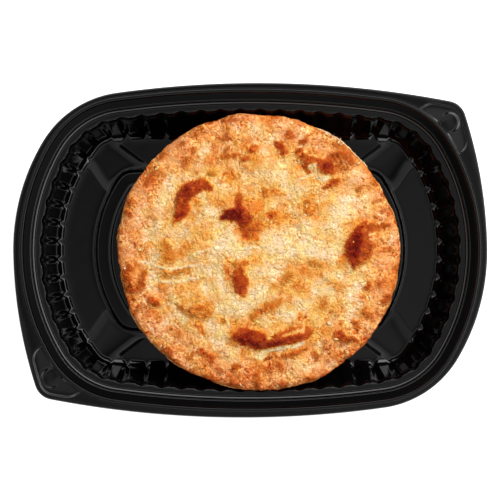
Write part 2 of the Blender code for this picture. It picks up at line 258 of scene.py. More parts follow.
# %% [markdown]
# ## The tray's section
# A moulder would draw the tray as one section line and let it run round the ovals. It comes up the
# skirt, over the brim's rolled edge, across the brim to the bead, and down two small steps to the
# ledge. Then it breaks over the ribs' tops, runs down the wall with its slight draft, and turns
# through a small fillet and a shallow one on to the floor. Each corner is a few close rings instead
# of a bevel, so that every edge catches the light as one thin line, as a vacuum-formed sheet does.

# %% Skirt, brim and steps
BRIM_TOP = 45.0 * MM
BRIM_RINGS = 40
# The brim sags towards its edge by this share of its width, counted up to SAG_REACH.
BRIM_SAG, SAG_REACH = 0.03, 8.0 * MM
# Inwards from the brim's outline, and below the brim's top, in mm.
BRIM_EDGE = ((-0.40, 4.40), (-0.25, 3.40), (-0.12, 2.20), (-0.02, 1.20), (0.04, 0.70),
             (0.14, 0.38), (0.30, 0.16), (0.52, 0.05), (0.90, 0.00))
# Outwards from the ledge's edge, and height in mm: over the bead and down to the ledge.
BEAD_AND_STEPS = ((11.40, 45.00), (11.00, 45.00), (10.94, 45.03), (10.88, 45.12), (10.70, 45.42),
                  (10.62, 45.51), (10.54, 45.56), (10.34, 45.62), (9.44, 45.62), (9.24, 45.56),
                  (9.17, 45.51), (9.10, 45.42), (8.90, 44.90), (8.75, 44.55), (8.62, 44.35),
                  (8.50, 44.22), (7.40, 43.39), (6.40, 42.66), (5.60, 42.08), (5.48, 42.00),
                  (5.37, 41.945), (5.28, 41.92), (4.95, 41.86), (4.86, 41.825), (4.76, 41.75),
                  (4.68, 41.64), (4.55, 41.40), (4.45, 40.95), (4.32, 40.65), (4.15, 40.50),
                  (3.90, 40.42), (3.50, 40.30), (3.36, 40.22), (3.25, 40.05), (3.15, 39.70),
                  (3.05, 39.52), (2.90, 39.43), (2.60, 39.40), (1.20, 39.40))
print("the bead's top is at", max(height for _, height in BEAD_AND_STEPS), "mm")

# %% Ribs, wall, fillets and floor
# Heights and insets in this cell are in mm.
FLOOR_TOP = 1.8
WALL_RINGS, FLOOR_RINGS, PLATFORM_TOP_RINGS = 7, 9, 6
# Inwards from the ledge's edge, height, and groove depth: the ledge's edge and the ribs' tops.
RIB_TOP = ((0.00, 39.38, 1.00), (0.12, 39.29, 1.00), (0.24, 39.02, 1.02), (0.70, 37.95, 1.15),
           (1.14, 36.95, 1.30), (1.24, 36.82, 1.35), (1.42, 36.72, 1.45), (1.60, 36.62, 1.60),
           (1.72, 36.35, 1.80), (1.80, 35.80, 2.00))
# From the floor's outline inwards, height above the floor, and groove depth.
WALL_FOOT = ((-0.85, 1.75, 1.80), (-0.74, 1.20, 1.80), (-0.60, 0.84, 1.80), (-0.42, 0.64, 1.80),
             (-0.20, 0.54, 1.80), (0.15, 0.44, 1.75), (0.60, 0.31, 1.60), (1.05, 0.19, 1.10),
             (1.35, 0.12, 0.70), (1.80, 0.06, 0.35), (2.50, 0.02, 0.10), (3.40, 0.00, 0.00))
# From the platform's outline inwards, and height above the floor: two steps, and between them a
# band that slopes gently outwards.
PLATFORM_STEPS = ((-4.20, 0.00), (-2.60, 0.02), (-1.60, 0.08), (-0.95, 0.20), (-0.50, 0.36),
                  (-0.20, 0.54), (0.02, 0.76), (0.22, 1.08), (0.45, 1.26), (0.75, 1.34),
                  (1.10, 1.36), (1.60, 1.37), (2.60, 1.40), (4.20, 1.45), (5.80, 1.51),
                  (6.90, 1.57), (7.30, 1.66), (7.52, 1.84), (7.68, 2.30), (7.86, 2.68),
                  (8.10, 2.90), (8.45, 2.99), (9.00, 3.00), (10.00, 3.00))
print("the platform stands", PLATFORM_STEPS[-1][1], "mm above the floor")

# %% [markdown]
# ## Corner feet
# Four feet run from the platform's corners to the floor's, each a shallow trough between two crisp
# edges, pressed a millimetre lower than the floor. They could be cut out of the finished mesh, but
# a cut leaves slivers. Here they are a weight that depends only on the way round the floor, so any
# ring can be lowered by it.

# %% Weight of the feet
FOOT_DROP = 1.05 * MM
# Both edges of the foot in the +X+Y corner, on the floor's outline and on the platform's, in mm.
FOOT_ON_FLOOR = ((87.0, 43.6), (68.5, 59.8))
FOOT_ON_PLATFORM = ((74.6, 30.5), (54.5, 43.2))
CORNERS = ((-1, -1), (1, -1), (1, 1), (-1, 1))


def foot_edges(outline, keys):
    """Shares of the edges of the four feet on an outline, in order round it."""
    shares = []
    for side_x, side_y in CORNERS:
        shares += sorted(outline.nearest_share((side_x * x * MM, side_y * y * MM)) for x, y in keys)
    return np.array(shares)


feet_on_floor = foot_edges(floor, FOOT_ON_FLOOR)
feet_on_platform = foot_edges(platform, FOOT_ON_PLATFORM)


def foot_weight(shares):
    """0 outside a corner foot; across it a shallow trough, 1 in the middle, with crisp edges."""
    wrapped = np.asarray(shares) % 1.0
    weight = np.zeros_like(wrapped)
    for low, high in feet_on_floor.reshape(len(CORNERS), 2):
        across = np.clip((wrapped - low) / (high - low), 0.0, 1.0)
        weight = np.maximum(weight, 1.0 - (2.0 * across - 1.0) ** 2)
    return weight


def platform_shares(shares):
    """The shares of the platform's outline that face these shares of the floor's."""
    floor_edges = np.append(feet_on_floor, feet_on_floor[0] + 1.0)
    platform_edges = np.append(feet_on_platform, feet_on_platform[0] + 1.0)
    wrapped = np.asarray(shares) % 1.0
    wrapped = np.where(wrapped < floor_edges[0], wrapped + 1.0, wrapped)
    return np.interp(wrapped, floor_edges, platform_edges)


print("feet begin and end at", np.round(feet_on_floor, 3), "of the way round the floor")

# %% [markdown]
# ## Lift tabs
# Each tab is pressed into the brim where it comes to a point. A shallow pocket follows the outer
# edge, steep along that edge and at its two rounded ends, and it fades out towards the bead. A
# round boss in its middle rises towards the tab's point, for a thumb. Both are heights added to
# the brim, worked out from how far a spot lies from the brim's outline and from the tab's middle,
# so that no seam can show.

# %% Pocket and boss heights
POCKET_DEPTH = 0.6 * MM
POCKET_EDGE = 2.8 * MM
POCKET_WALL = 1.4 * MM
POCKET_MIDDLE = np.array((101.4, 64.6)) * MM
POCKET_ALONG = np.array((-0.683, 0.730))
POCKET_HALF_LENGTH = 15.2 * MM
POCKET_CORNER = 3.2 * MM
POCKET_FADE = (4.0 * MM, 15.0 * MM)
BOSS_MIDDLE = np.array((102.8, 66.0)) * MM
BOSS_RADIUS = 4.9 * MM
BOSS_SLOPE = 1.6 * MM
BOSS_HEIGHT = 0.5 * MM
TAB_REACH = 40.0 * MM


def rise(value, start, end):
    """0 up to start, 1 from end on, and a soft step between."""
    part = np.clip((value - start) / (end - start), 0.0, 1.0)
    return part * part * (3.0 - 2.0 * part)


def tab_height(spots):
    """How far the tabs' forms stand above the flat brim at these spots."""
    edge = brim.distance(spots)
    height = np.zeros(len(spots))
    for side in (-1.0, 1.0):
        along = (spots - side * POCKET_MIDDLE) @ POCKET_ALONG
        past_edge = np.maximum(POCKET_EDGE - edge + POCKET_CORNER, 0.0)
        past_end = np.maximum(np.abs(along) - POCKET_HALF_LENGTH + POCKET_CORNER, 0.0)
        inside = POCKET_CORNER - np.hypot(past_edge, past_end)
        pocket = rise(inside, -POCKET_WALL / 2.0, POCKET_WALL / 2.0)
        pocket *= 1.0 - rise(edge, *POCKET_FADE)
        near = np.hypot(*(spots - side * BOSS_MIDDLE).T)
        boss = rise(BOSS_RADIUS - near, -BOSS_SLOPE / 2.0, BOSS_SLOPE / 2.0)
        lean = 0.5 + 0.5 * (side * spots[:, 0] - BOSS_MIDDLE[0]) / BOSS_RADIUS
        form = BOSS_HEIGHT * boss * lean - POCKET_DEPTH * pocket
        height += np.where(near < TAB_REACH, form, 0.0)
    return height


print("the boss's middle is", round(float(tab_height(BOSS_MIDDLE[None])[0]) / MM, 2),
      "mm from the brim's level")

# %% [markdown]
# ## The tray's skin
# Now the rings are laid out, from the skirt in to the middle of the platform. The brim's rings
# share out the space between the brim's outline and the bead, which is wide at the tabs and narrow
# elsewhere. The wall's rings mix the ledge's line with the floor's, and dip inwards at each groove.
# A grid bent into shape would stretch at the corners, while rings stay as close as each edge needs.

# %% Rings of the brim
rings = []


def add_ring(places, heights):
    rings.append(np.column_stack([places, np.broadcast_to(heights, len(places))]))


def between(first, last, part):
    return first + (last - first) * part


starts, inwards, to_brim, _ = ray(stations(GROOVE_TOP)[0])
brim_side = to_brim + BRIM_EDGE[-1][0] * MM
bead_side = -BEAD_AND_STEPS[0][0] * MM
sag = BRIM_SAG * np.minimum(bead_side - brim_side, SAG_REACH)
for inset, drop in BRIM_EDGE:
    add_ring(starts + inwards * (to_brim + inset * MM)[:, None], BRIM_TOP - sag - drop * MM)
for k in range(1, BRIM_RINGS):
    part = k / BRIM_RINGS
    places = starts + inwards * between(brim_side, bead_side, part)[:, None]
    add_ring(places, BRIM_TOP - sag * (1.0 - part) ** 2 + tab_height(places))
for outset, height in BEAD_AND_STEPS:
    add_ring(starts - inwards * outset * MM, height * MM)
print(len(rings), "rings from the skirt to the ledge; the brim sags by",
      round(float(sag.max()) / MM, 2), "mm")

# %% Rings of the wall
FEET_FROM = 0.82


def wall_ring(part, inset, height, groove_depth):
    """A ring at part of the way from the ledge's edge to the floor's, and an inset further in."""
    shares, grooves = stations(between(GROOVE_TOP, GROOVE_FOOT, part))
    starts, inwards, _, to_floor = ray(shares)
    on_floor = np.interp(shares % 1.0, table_shares, floor_share)
    feet = rise(part, FEET_FROM, 1.0) * foot_weight(on_floor)
    reach = to_floor * part + (inset - grooves * (1.0 - feet) * groove_depth) * MM
    add_ring(starts + inwards * reach[:, None], height * MM - feet * FOOT_DROP)


for inset, height, depth in RIB_TOP:
    wall_ring(0.0, inset, height, depth)
wall_top, wall_end = np.array(RIB_TOP[-1]), np.array(WALL_FOOT[0]) + (0.0, FLOOR_TOP, 0.0)
for k in range(1, WALL_RINGS + 1):
    part = k / (WALL_RINGS + 1)
    wall_ring(part, *between(wall_top, wall_end, part))
for inset, height, depth in WALL_FOOT:
    wall_ring(1.0, inset, FLOOR_TOP + height, depth)
print(len(rings), "rings from the skirt to the floor")

# %% Rings of the floor and the platform
# How high up the platform's first step the feet end, in mm, and how the last rings crowd inwards.
FEET_END = 0.6
CROWDING = 0.7

on_floor = np.interp(stations(GROOVE_FOOT)[0] % 1.0, table_shares, floor_share)
on_platform = platform_shares(on_floor)
platform_edge, platform_inward = platform.at(on_platform), platform.inward(on_platform)
feet = foot_weight(on_floor) * FOOT_DROP
floor_side = rings[-1][:, :2]
step_side = platform_edge + platform_inward * PLATFORM_STEPS[0][0] * MM
for k in range(1, FLOOR_RINGS):
    add_ring(between(floor_side, step_side, k / FLOOR_RINGS), FLOOR_TOP * MM - feet)
for inset, height in PLATFORM_STEPS:
    left = 1.0 - rise(height, 0.0, FEET_END)
    add_ring(platform_edge + platform_inward * inset * MM, (FLOOR_TOP + height) * MM - left * feet)
inner = rings[-1]
for k in range(1, PLATFORM_TOP_RINGS):
    add_ring(inner[:, :2] * (1.0 - (k / PLATFORM_TOP_RINGS) ** CROWDING), inner[:, 2])
print(len(rings), "rings of", len(rings[0]), "stations")

# %% Join the rings, thicken the skin
TRAY_WALL = 0.6 * MM


def mesh_object(name, points, faces):
    mesh = bpy.data.meshes.new(name)
    mesh.from_pydata([tuple(point) for point in points], [], faces)
    mesh.shade_smooth()
    made = bpy.data.objects.new(name, mesh)
    bpy.context.scene.collection.objects.link(made)
    return made


def ring_faces(ring_count, station_count):
    """Quads between closed rings, and a fan of the last ring round one more point."""
    faces = []
    for ring in range(ring_count - 1):
        here, inside = ring * station_count, (ring + 1) * station_count
        for k in range(station_count):
            after = (k + 1) % station_count
            faces.append((here + k, here + after, inside + after, inside + k))
    last, middle = (ring_count - 1) * station_count, ring_count * station_count
    faces += [(last + k, last + (k + 1) % station_count, middle) for k in range(station_count)]
    return faces


middle_point = [[0.0, 0.0, rings[-1][0, 2]]]
tray = mesh_object("tray_shell", np.vstack(rings + [middle_point]),
                   ring_faces(len(rings), len(rings[0])))
shell = tray.modifiers.new("wall", "SOLIDIFY")
shell.thickness = TRAY_WALL
shell.offset = -1.0
shell.use_even_offset = False
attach(tray, "root")
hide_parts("tray")
print("tray skin:", len(tray.data.polygons), "faces")

# %% [markdown]
# ## The pie's body
# The pie was baked in its own round pan, so below the rim it is a shallow cone, and the top crust
# stands out over it as a soft lip. A turned section would give that, but its points crowd together
# in the middle. Here the crust is a square net of points laid out as rings of 8, 16, 24 and so on,
# which keeps them evenly spaced, and its outermost ring runs on down the lip and the side.

# %% The turned section
PIE_MIDDLE = (4.6 * MM, -1.2 * MM)
PIE_BASE = 5.1 * MM
RIM_RADIUS = 72.2
# Radius and height above the base, in mm, from the middle of the crust out, over the lip and down.
CRUST_SECTION = ((0.0, 42.6), (5.0, 42.6), (10.0, 42.5), (15.0, 42.4), (20.0, 42.3), (25.0, 42.1),
                 (30.0, 41.9), (35.0, 41.6), (40.0, 41.3), (45.0, 41.0), (50.0, 40.6),
                 (55.0, 40.3), (60.0, 40.1), (64.5, 40.0))
LIP_SECTION = ((64.5, 40.0), (67.0, 39.85), (69.3, 39.4), (71.0, 38.6), (71.9, 37.7),
               (72.2, 36.9), (72.0, 36.1), (71.2, 35.5), (69.8, 35.1), (68.5, 34.6), (67.6, 33.8),
               (67.0, 32.4), (66.2, 29.4))
SIDE_SECTION = ((66.2, 29.4), (63.4, 20.0), (60.4, 10.0), (59.2, 5.2), (58.6, 2.8), (57.6, 1.2),
                (56.2, 0.3), (54.5, 0.0), (40.0, 0.0), (20.0, 0.0), (6.0, 0.0))
LIP_RINGS = 30
SIDE_RINGS = 56


def spread_along(knots, count):
    """Points evenly spread along a line of knots, leaving out its first point."""
    knots = np.array(knots)
    travel = np.concatenate([[0.0], np.cumsum(np.hypot(*np.diff(knots, axis=0).T))])
    wanted = travel[-1] * np.arange(1, count + 1) / count
    return np.column_stack([np.interp(wanted, travel, knots[:, k]) for k in (0, 1)])


side_steps = np.vstack([spread_along(LIP_SECTION, LIP_RINGS),
                        spread_along(SIDE_SECTION, SIDE_RINGS)])
print("the lip stands out by", round(RIM_RADIUS - SIDE_SECTION[0][0], 1), "mm over the side")

# %% A square net laid out as rings
CRUST_RINGS = 112

steps = np.arange(-CRUST_RINGS, CRUST_RINGS + 1.0)
across, up = np.meshgrid(steps, steps)
flat = np.maximum(np.abs(across), np.abs(up))
wide = np.abs(across) >= np.abs(up)
# How far a point lies along its side of the square gives its angle, so squares become circles.
with np.errstate(divide="ignore", invalid="ignore"):
    turn = np.where(wide, math.pi / 4 * up / across, math.pi / 2 - math.pi / 4 * across / up)
turn = turn + math.pi * np.where(wide, across < 0.0, up < 0.0)
crust_turn = np.where(flat == 0.0, 0.0, turn).ravel()
crust_knots = np.array(CRUST_SECTION)
crust_radius = (flat / CRUST_RINGS * crust_knots[-1, 0]).ravel()
crust_height = np.interp(crust_radius, *crust_knots.T)
print("crust net:", CRUST_RINGS, "rings, the outermost of", 8 * CRUST_RINGS, "points")

# %% The net's faces, and the rings below it
span = len(steps)
net = np.arange(span * span).reshape(span, span)
border = np.concatenate([net[0, :-1], net[:-1, -1], net[-1, :0:-1], net[:0:-1, 0]])
pie_faces = np.stack([net[:-1, :-1], net[:-1, 1:], net[1:, 1:], net[1:, :-1]], -1)
pie_faces = pie_faces.reshape(-1, 4).tolist()
outer = border
for k in range(len(side_steps)):
    inner = span * span + k * len(border) + np.arange(len(border))
    pie_faces += np.stack([outer, inner, np.roll(inner, -1), np.roll(outer, -1)], -1).tolist()
    outer = inner
pie_faces.append(outer[::-1].tolist())

radius = np.concatenate([crust_radius] + [np.full(len(border), r) for r, _ in side_steps])
height = np.concatenate([crust_height] + [np.full(len(border), h) for _, h in side_steps])
turn = np.concatenate([crust_turn] + [crust_turn[border]] * len(side_steps))
print("pie net:", len(radius), "points,", len(pie_faces), "faces")

# %% [markdown]
# ## Wander, blisters and grain
# The rim is no true circle, so a few slow waves move it in and out. The crust rose in places while
# it baked and set as blisters: long ones that curl, round ones, and one with a torn lip below it.
# Each is a soft heap with its own length, width, direction and bend. Over all of that lies grain
# in several sizes, since dough never sets smooth, and it is strongest on the rim. A displacement
# texture would give the grain, but it couldn't put a blister where the browning lies.

# %% Blisters
BLISTER_FALL, BLISTER_POWER = 0.9, 1.5
# Middle, half length, half width, direction in degrees, sideways bend of the ends, and height.
BLISTERS = (
    ((-38.0, 29.0), 12.5, 3.0, 48.0, -3.5, 2.6), ((-10.7, 20.0), 8.5, 4.5, -20.0, 1.0, 2.2),
    ((-9.9, -12.9), 8.5, 4.2, 92.0, 0.0, 2.3), ((52.0, 3.6), 11.0, 6.2, 75.0, 1.0, 3.2),
    ((3.5, -45.0), 18.5, 4.2, 2.0, 3.0, 2.7), ((29.6, 46.4), 10.5, 4.5, -30.0, -1.0, 2.2),
    ((43.5, 48.5), 7.0, 3.5, -25.0, 0.0, 1.2), ((-54.5, -25.3), 4.2, 3.0, 0.0, 0.0, 1.4),
    ((-31.8, -30.4), 7.5, 3.2, -15.0, 0.0, 1.2), ((44.0, -43.9), 5.0, 3.6, 20.0, 0.0, 1.4))


def heading_of(degrees):
    """The level unit vector at this angle from +X."""
    return np.array((math.cos(math.radians(degrees)), math.sin(math.radians(degrees))))


def blister_height(x, y):
    """How far the blisters lift the crust at these places."""
    total = np.zeros(len(x))
    for (middle_x, middle_y), half_length, half_width, degrees, bend, top in BLISTERS:
        cosine, sine = heading_of(degrees)
        along = (x - middle_x) * cosine + (y - middle_y) * sine
        aside = (y - middle_y) * cosine - (x - middle_x) * sine
        aside = aside - bend * (along / half_length) ** 2
        spread = (along / half_length) ** 2 + (aside / half_width) ** 2
        total += top * np.exp(-BLISTER_FALL * spread ** BLISTER_POWER)
    return total


print("the highest blister adds", max(row[-1] for row in BLISTERS), "mm")

# %% Wander and grain
# Waves round the rim: how many, their size in mm, and the direction of a crest in degrees.
RIM_WANDER = ((1, 0.6, 171.0), (2, 1.0, -21.0), (3, 0.3, -5.0), (5, 0.3, 1.0), (7, 0.2, 7.0))
# Waves a millimetre, and a shift that keeps one noise apart from another.
UNEVEN_NOISE, LUMP_NOISE, FLAKE_NOISE = (0.06, 0.0), (0.13, 11.0), (0.50, 17.0)
TOP_UNEVEN, SIDE_UNEVEN = 0.7, 0.4
TOP_LUMPS, EDGE_LUMPS, EDGE_FLAKES = 0.45, 0.27, 0.18
# Heights above the base, in mm, between which the side becomes crust, and where the rim's edge is.
CRUST_HEIGHTS, EDGE_HEIGHTS, EDGE_RADII = (34.0, 39.6), (30.0, 36.0), (66.0, 71.0)


def noise_at(x, y, z, scale, shift):
    """Smooth noise from about -1 to 1 at many places, at a scale in waves a millimetre."""
    spots = zip((x * scale + shift).tolist(), (y * scale).tolist(), (z * scale).tolist())
    return 2.0 * np.array([noise.noise(spot) for spot in spots])


x, y, z = radius * np.cos(turn), radius * np.sin(turn), height
grain, lumps, flaky = [noise_at(x, y, z, *kind) for kind in (UNEVEN_NOISE, LUMP_NOISE, FLAKE_NOISE)]
wander = sum(size * np.cos(waves * (turn - math.radians(crest)))
             for waves, size, crest in RIM_WANDER)
out = (radius / RIM_RADIUS) ** 2 * wander
out = out + np.where(z > 0.0, SIDE_UNEVEN * grain * radius / RIM_RADIUS, 0.0)
at_edge = rise(radius, *EDGE_RADII) * rise(z, *EDGE_HEIGHTS)
out = out + at_edge * (EDGE_LUMPS * lumps + EDGE_FLAKES * flaky)
widened = 1.0 + out / np.maximum(radius, 1.0)
x, y = x * widened, y * widened
on_crust = rise(height, *CRUST_HEIGHTS)
z = z + on_crust * (TOP_UNEVEN * grain + TOP_LUMPS * lumps + blister_height(x, y))
print("crust stands", round(float(z.max()), 1), "mm above the base")

# %% [markdown]
# ## Where the crust browned
# Browning follows heat: raised blisters burn first, hollows stay cream, and the rim is speckled all
# round. A noise texture alone gives even mottling, never the few dark curls and streaks that make
# this crust its own. So the browning is painted on to the mesh as strokes, as a cook would brush on
# a glaze: each stroke is a chain of spots with a tone and a soft or crisp edge. Noise frays every
# edge, so no stroke shows as a shape of its own. Not all of it is browning: a brown line under the
# torn lip is painted shadow, and one pale dot on a blister is a painted highlight.

# %% Strokes of browning
# Tone from 0, pale cream, to 1, nearly burnt; width of the edge in mm; and spots (x, y, radius).
GLOWS = (
    (0.56, 3.0, ((-42.6, 27.5, 3.0), (-44.1, 23.6, 2.0))),
    (0.66, 3.5, ((-6.6, 25.1, 4.4), (-3.2, 20.1, 5.9), (-0.0, 22.6, 4.4), (-3.2, 14.2, 4.9))),
    (0.60, 3.0, ((6.9, 19.7, 3.9), (14.2, 15.2, 3.4), (18.7, 14.7, 3.4))),
    (0.50, 3.0, ((2.9, 32.5, 3.4), (3.9, 28.0, 2.5))),
    (0.50, 3.5, ((24.6, 26.1, 3.9), (30.0, 27.5, 4.9), (33.9, 21.6, 3.4))),
    (0.46, 3.5, ((38.4, 30.0, 3.9), (42.8, 32.5, 3.0))),
    (0.48, 3.0, ((32.0, 53.2, 3.4), (27.1, 54.6, 2.5))),
    (0.55, 3.0, ((42.8, 44.8, 3.9), (47.7, 46.7, 3.0))),
    (0.50, 3.0, ((15.2, 56.1, 3.4), (10.3, 51.7, 3.0), (7.8, 53.6, 3.0))),
    (0.50, 2.6, ((-17.5, 50.7, 3.0), (-11.1, 49.2, 3.0), (-4.2, 52.7, 3.0))),
    (0.50, 3.0, ((-20.9, 57.6, 3.0), (-16.0, 60.1, 2.5))),
    (0.50, 3.0, ((-38.6, 46.7, 3.0), (-41.1, 50.7, 2.5))),
    (0.48, 3.5, ((-34.7, -18.1, 4.9), (-41.1, -20.0, 3.4), (-29.3, -23.0, 3.0))),
    (0.52, 3.0, ((-35.7, -29.9, 3.9), (-29.3, -29.9, 3.9))),
    (0.52, 2.5, ((-14.0, -12.7, 2.0), (-12.5, -6.2, 1.5), (-6.1, -5.3, 1.5))),
    (0.60, 2.2, ((-8.1, -38.3, 2.5), (-1.2, -40.7, 3.0), (-1.5, -41.2, 3.0), (3.4, -43.2, 2.0))),
    (0.52, 2.5, ((-18.4, -35.3, 2.0), (-14.0, -35.3, 2.0))),
    (0.55, 2.5, ((-3.0, -33.3, 2.0), (5.4, -27.9, 2.5), (15.2, -24.5, 2.5))),
    (0.50, 3.0, ((27.1, -6.7, 3.0), (33.9, -9.2, 3.0))),
    (0.48, 3.0, ((11.8, -16.1, 2.5), (15.7, -11.7, 2.5))),
    (0.52, 3.0, ((33.9, -26.0, 3.0), (32.0, -28.9, 2.5))),
    (0.47, 3.0, ((41.3, -31.9, 3.0), (42.8, -24.0, 2.5))),
    (0.48, 3.5, ((27.1, -39.8, 3.0), (33.9, -43.7, 3.0), (30.0, -49.6, 3.0))),
    (0.55, 2.5, ((54.1, 16.2, 2.5), (48.7, 11.8, 2.0))),
    (0.50, 2.5, ((44.8, -7.7, 2.5), (42.8, -3.3, 2.0), (45.8, -12.2, 2.0))),
    (0.56, 2.5, ((55.6, -31.9, 3.4), (61.0, -31.9, 2.0))),
    (0.52, 2.6, ((5.4, -54.5, 3.0), (15.2, -53.1, 2.5))),
    (0.52, 2.6, ((-3.5, -56.5, 3.0), (-3.7, -57.0, 3.0))),
    (0.55, 2.6, ((-65.7, 26.5, 2.5), (-67.7, 20.1, 3.0), (-68.7, 11.8, 2.0))),
    (0.52, 2.6, ((-33.2, 61.0, 3.0), (-38.2, 58.6, 2.5))),
    (0.52, 2.6, ((-47.0, -39.8, 3.0), (-42.1, -42.2, 3.0))),
    (0.45, 4.0, ((-27.3, 14.2, 3.0), (-32.2, 16.7, 3.0), (-33.2, 5.4, 3.0))),
)
PALE_PATCHES = (
    (0.16, 2.5, ((-28.8, 52.7, 2.5), (-27.3, 55.1, 1.5))),
    (0.16, 3.0, ((-44.1, 36.9, 3.4), (-48.5, 31.0, 3.4), (-51.0, 25.1, 2.0))),
    (0.08, 2.5, ((-55.4, 9.8, 2.5), (-54.9, 7.3, 2.0))),
    (0.12, 2.0, ((-28.8, 27.5, 1.7), (-30.8, 29.5, 1.2))),
    (0.12, 3.5, ((-14.0, 5.4, 4.4), (-16.0, 12.8, 2.0), (-22.4, 3.4, 3.0))),
    (0.18, 2.5, ((-0.0, 63.5, 3.0), (-3.5, 64.0, 2.5))),
    (0.10, 3.5, ((42.3, 23.1, 3.9), (46.3, 26.1, 3.0), (38.4, 17.2, 3.9))),
    (0.20, 4.0, ((10.3, 40.8, 4.4), (13.3, 35.9, 4.4), (16.7, 31.0, 3.0))),
    (0.14, 3.5, ((4.4, 7.3, 4.4), (11.8, 6.8, 4.4), (23.1, 14.2, 3.4), (26.1, 5.4, 4.4))),
    (0.13, 1.8, ((19.2, 19.7, 1.5), (16.2, 22.6, 1.2))),
    (0.16, 2.5, ((54.6, 29.0, 2.0), (53.2, 31.0, 1.5))),
    (0.10, 3.5, ((9.3, 2.1, 4.4), (19.2, 0.6, 3.9), (35.9, -0.8, 3.9), (39.9, 2.1, 3.0))),
    (0.15, 3.5, ((-22.4, 1.6, 3.9), (-12.5, 0.6, 3.4), (-4.6, 0.6, 3.4))),
    (0.10, 2.0, ((-38.2, -33.8, 1.9), (-40.1, -32.9, 1.2))),
    (0.14, 2.2, ((-28.3, -18.6, 2.2), (-27.8, -20.5, 1.5))),
    (0.16, 2.5, ((-45.0, -24.0, 2.2), (-44.1, -26.9, 2.0))),
    (0.14, 3.0, ((-18.9, -28.9, 2.5), (-15.0, -26.0, 3.0), (-11.1, -27.4, 3.0), (-6.1, -26.0, 3.0))),
    (0.16, 3.0, ((-24.8, -38.3, 3.0), (-18.9, -40.2, 2.5), (-23.4, -43.7, 2.0))),
    (0.14, 2.5, ((-27.3, -10.2, 2.5), (-21.9, -8.2, 3.0), (-19.9, -14.1, 2.5))),
    (0.08, 2.0, ((0.4, -17.6, 2.2), (2.9, -19.6, 1.7))),
    (0.14, 3.0, ((11.8, -30.4, 3.4), (16.7, -31.9, 3.4))),
    (0.15, 2.5, ((23.1, -27.9, 2.5), (25.1, -26.0, 2.0))),
    (0.08, 3.0, ((47.3, -23.5, 3.0), (50.2, -18.6, 2.5), (53.7, -14.6, 2.0))),
    (0.14, 2.5, ((22.1, -57.0, 2.5), (26.1, -58.0, 2.0))),
    (0.16, 2.5, ((30.0, -18.1, 3.0), (37.9, -21.0, 2.0))),
    (0.14, 2.5, ((-3.0, -24.0, 3.0), (2.4, -22.5, 3.0), (-2.7, -21.0, 2.5))),
    (0.18, 3.0, ((-57.9, -7.7, 2.5), (-55.4, -12.7, 2.5), (-55.9, -18.6, 2.0))),
    (0.20, 2.5, ((49.7, -26.9, 2.5), (45.8, -36.8, 2.0))),
)
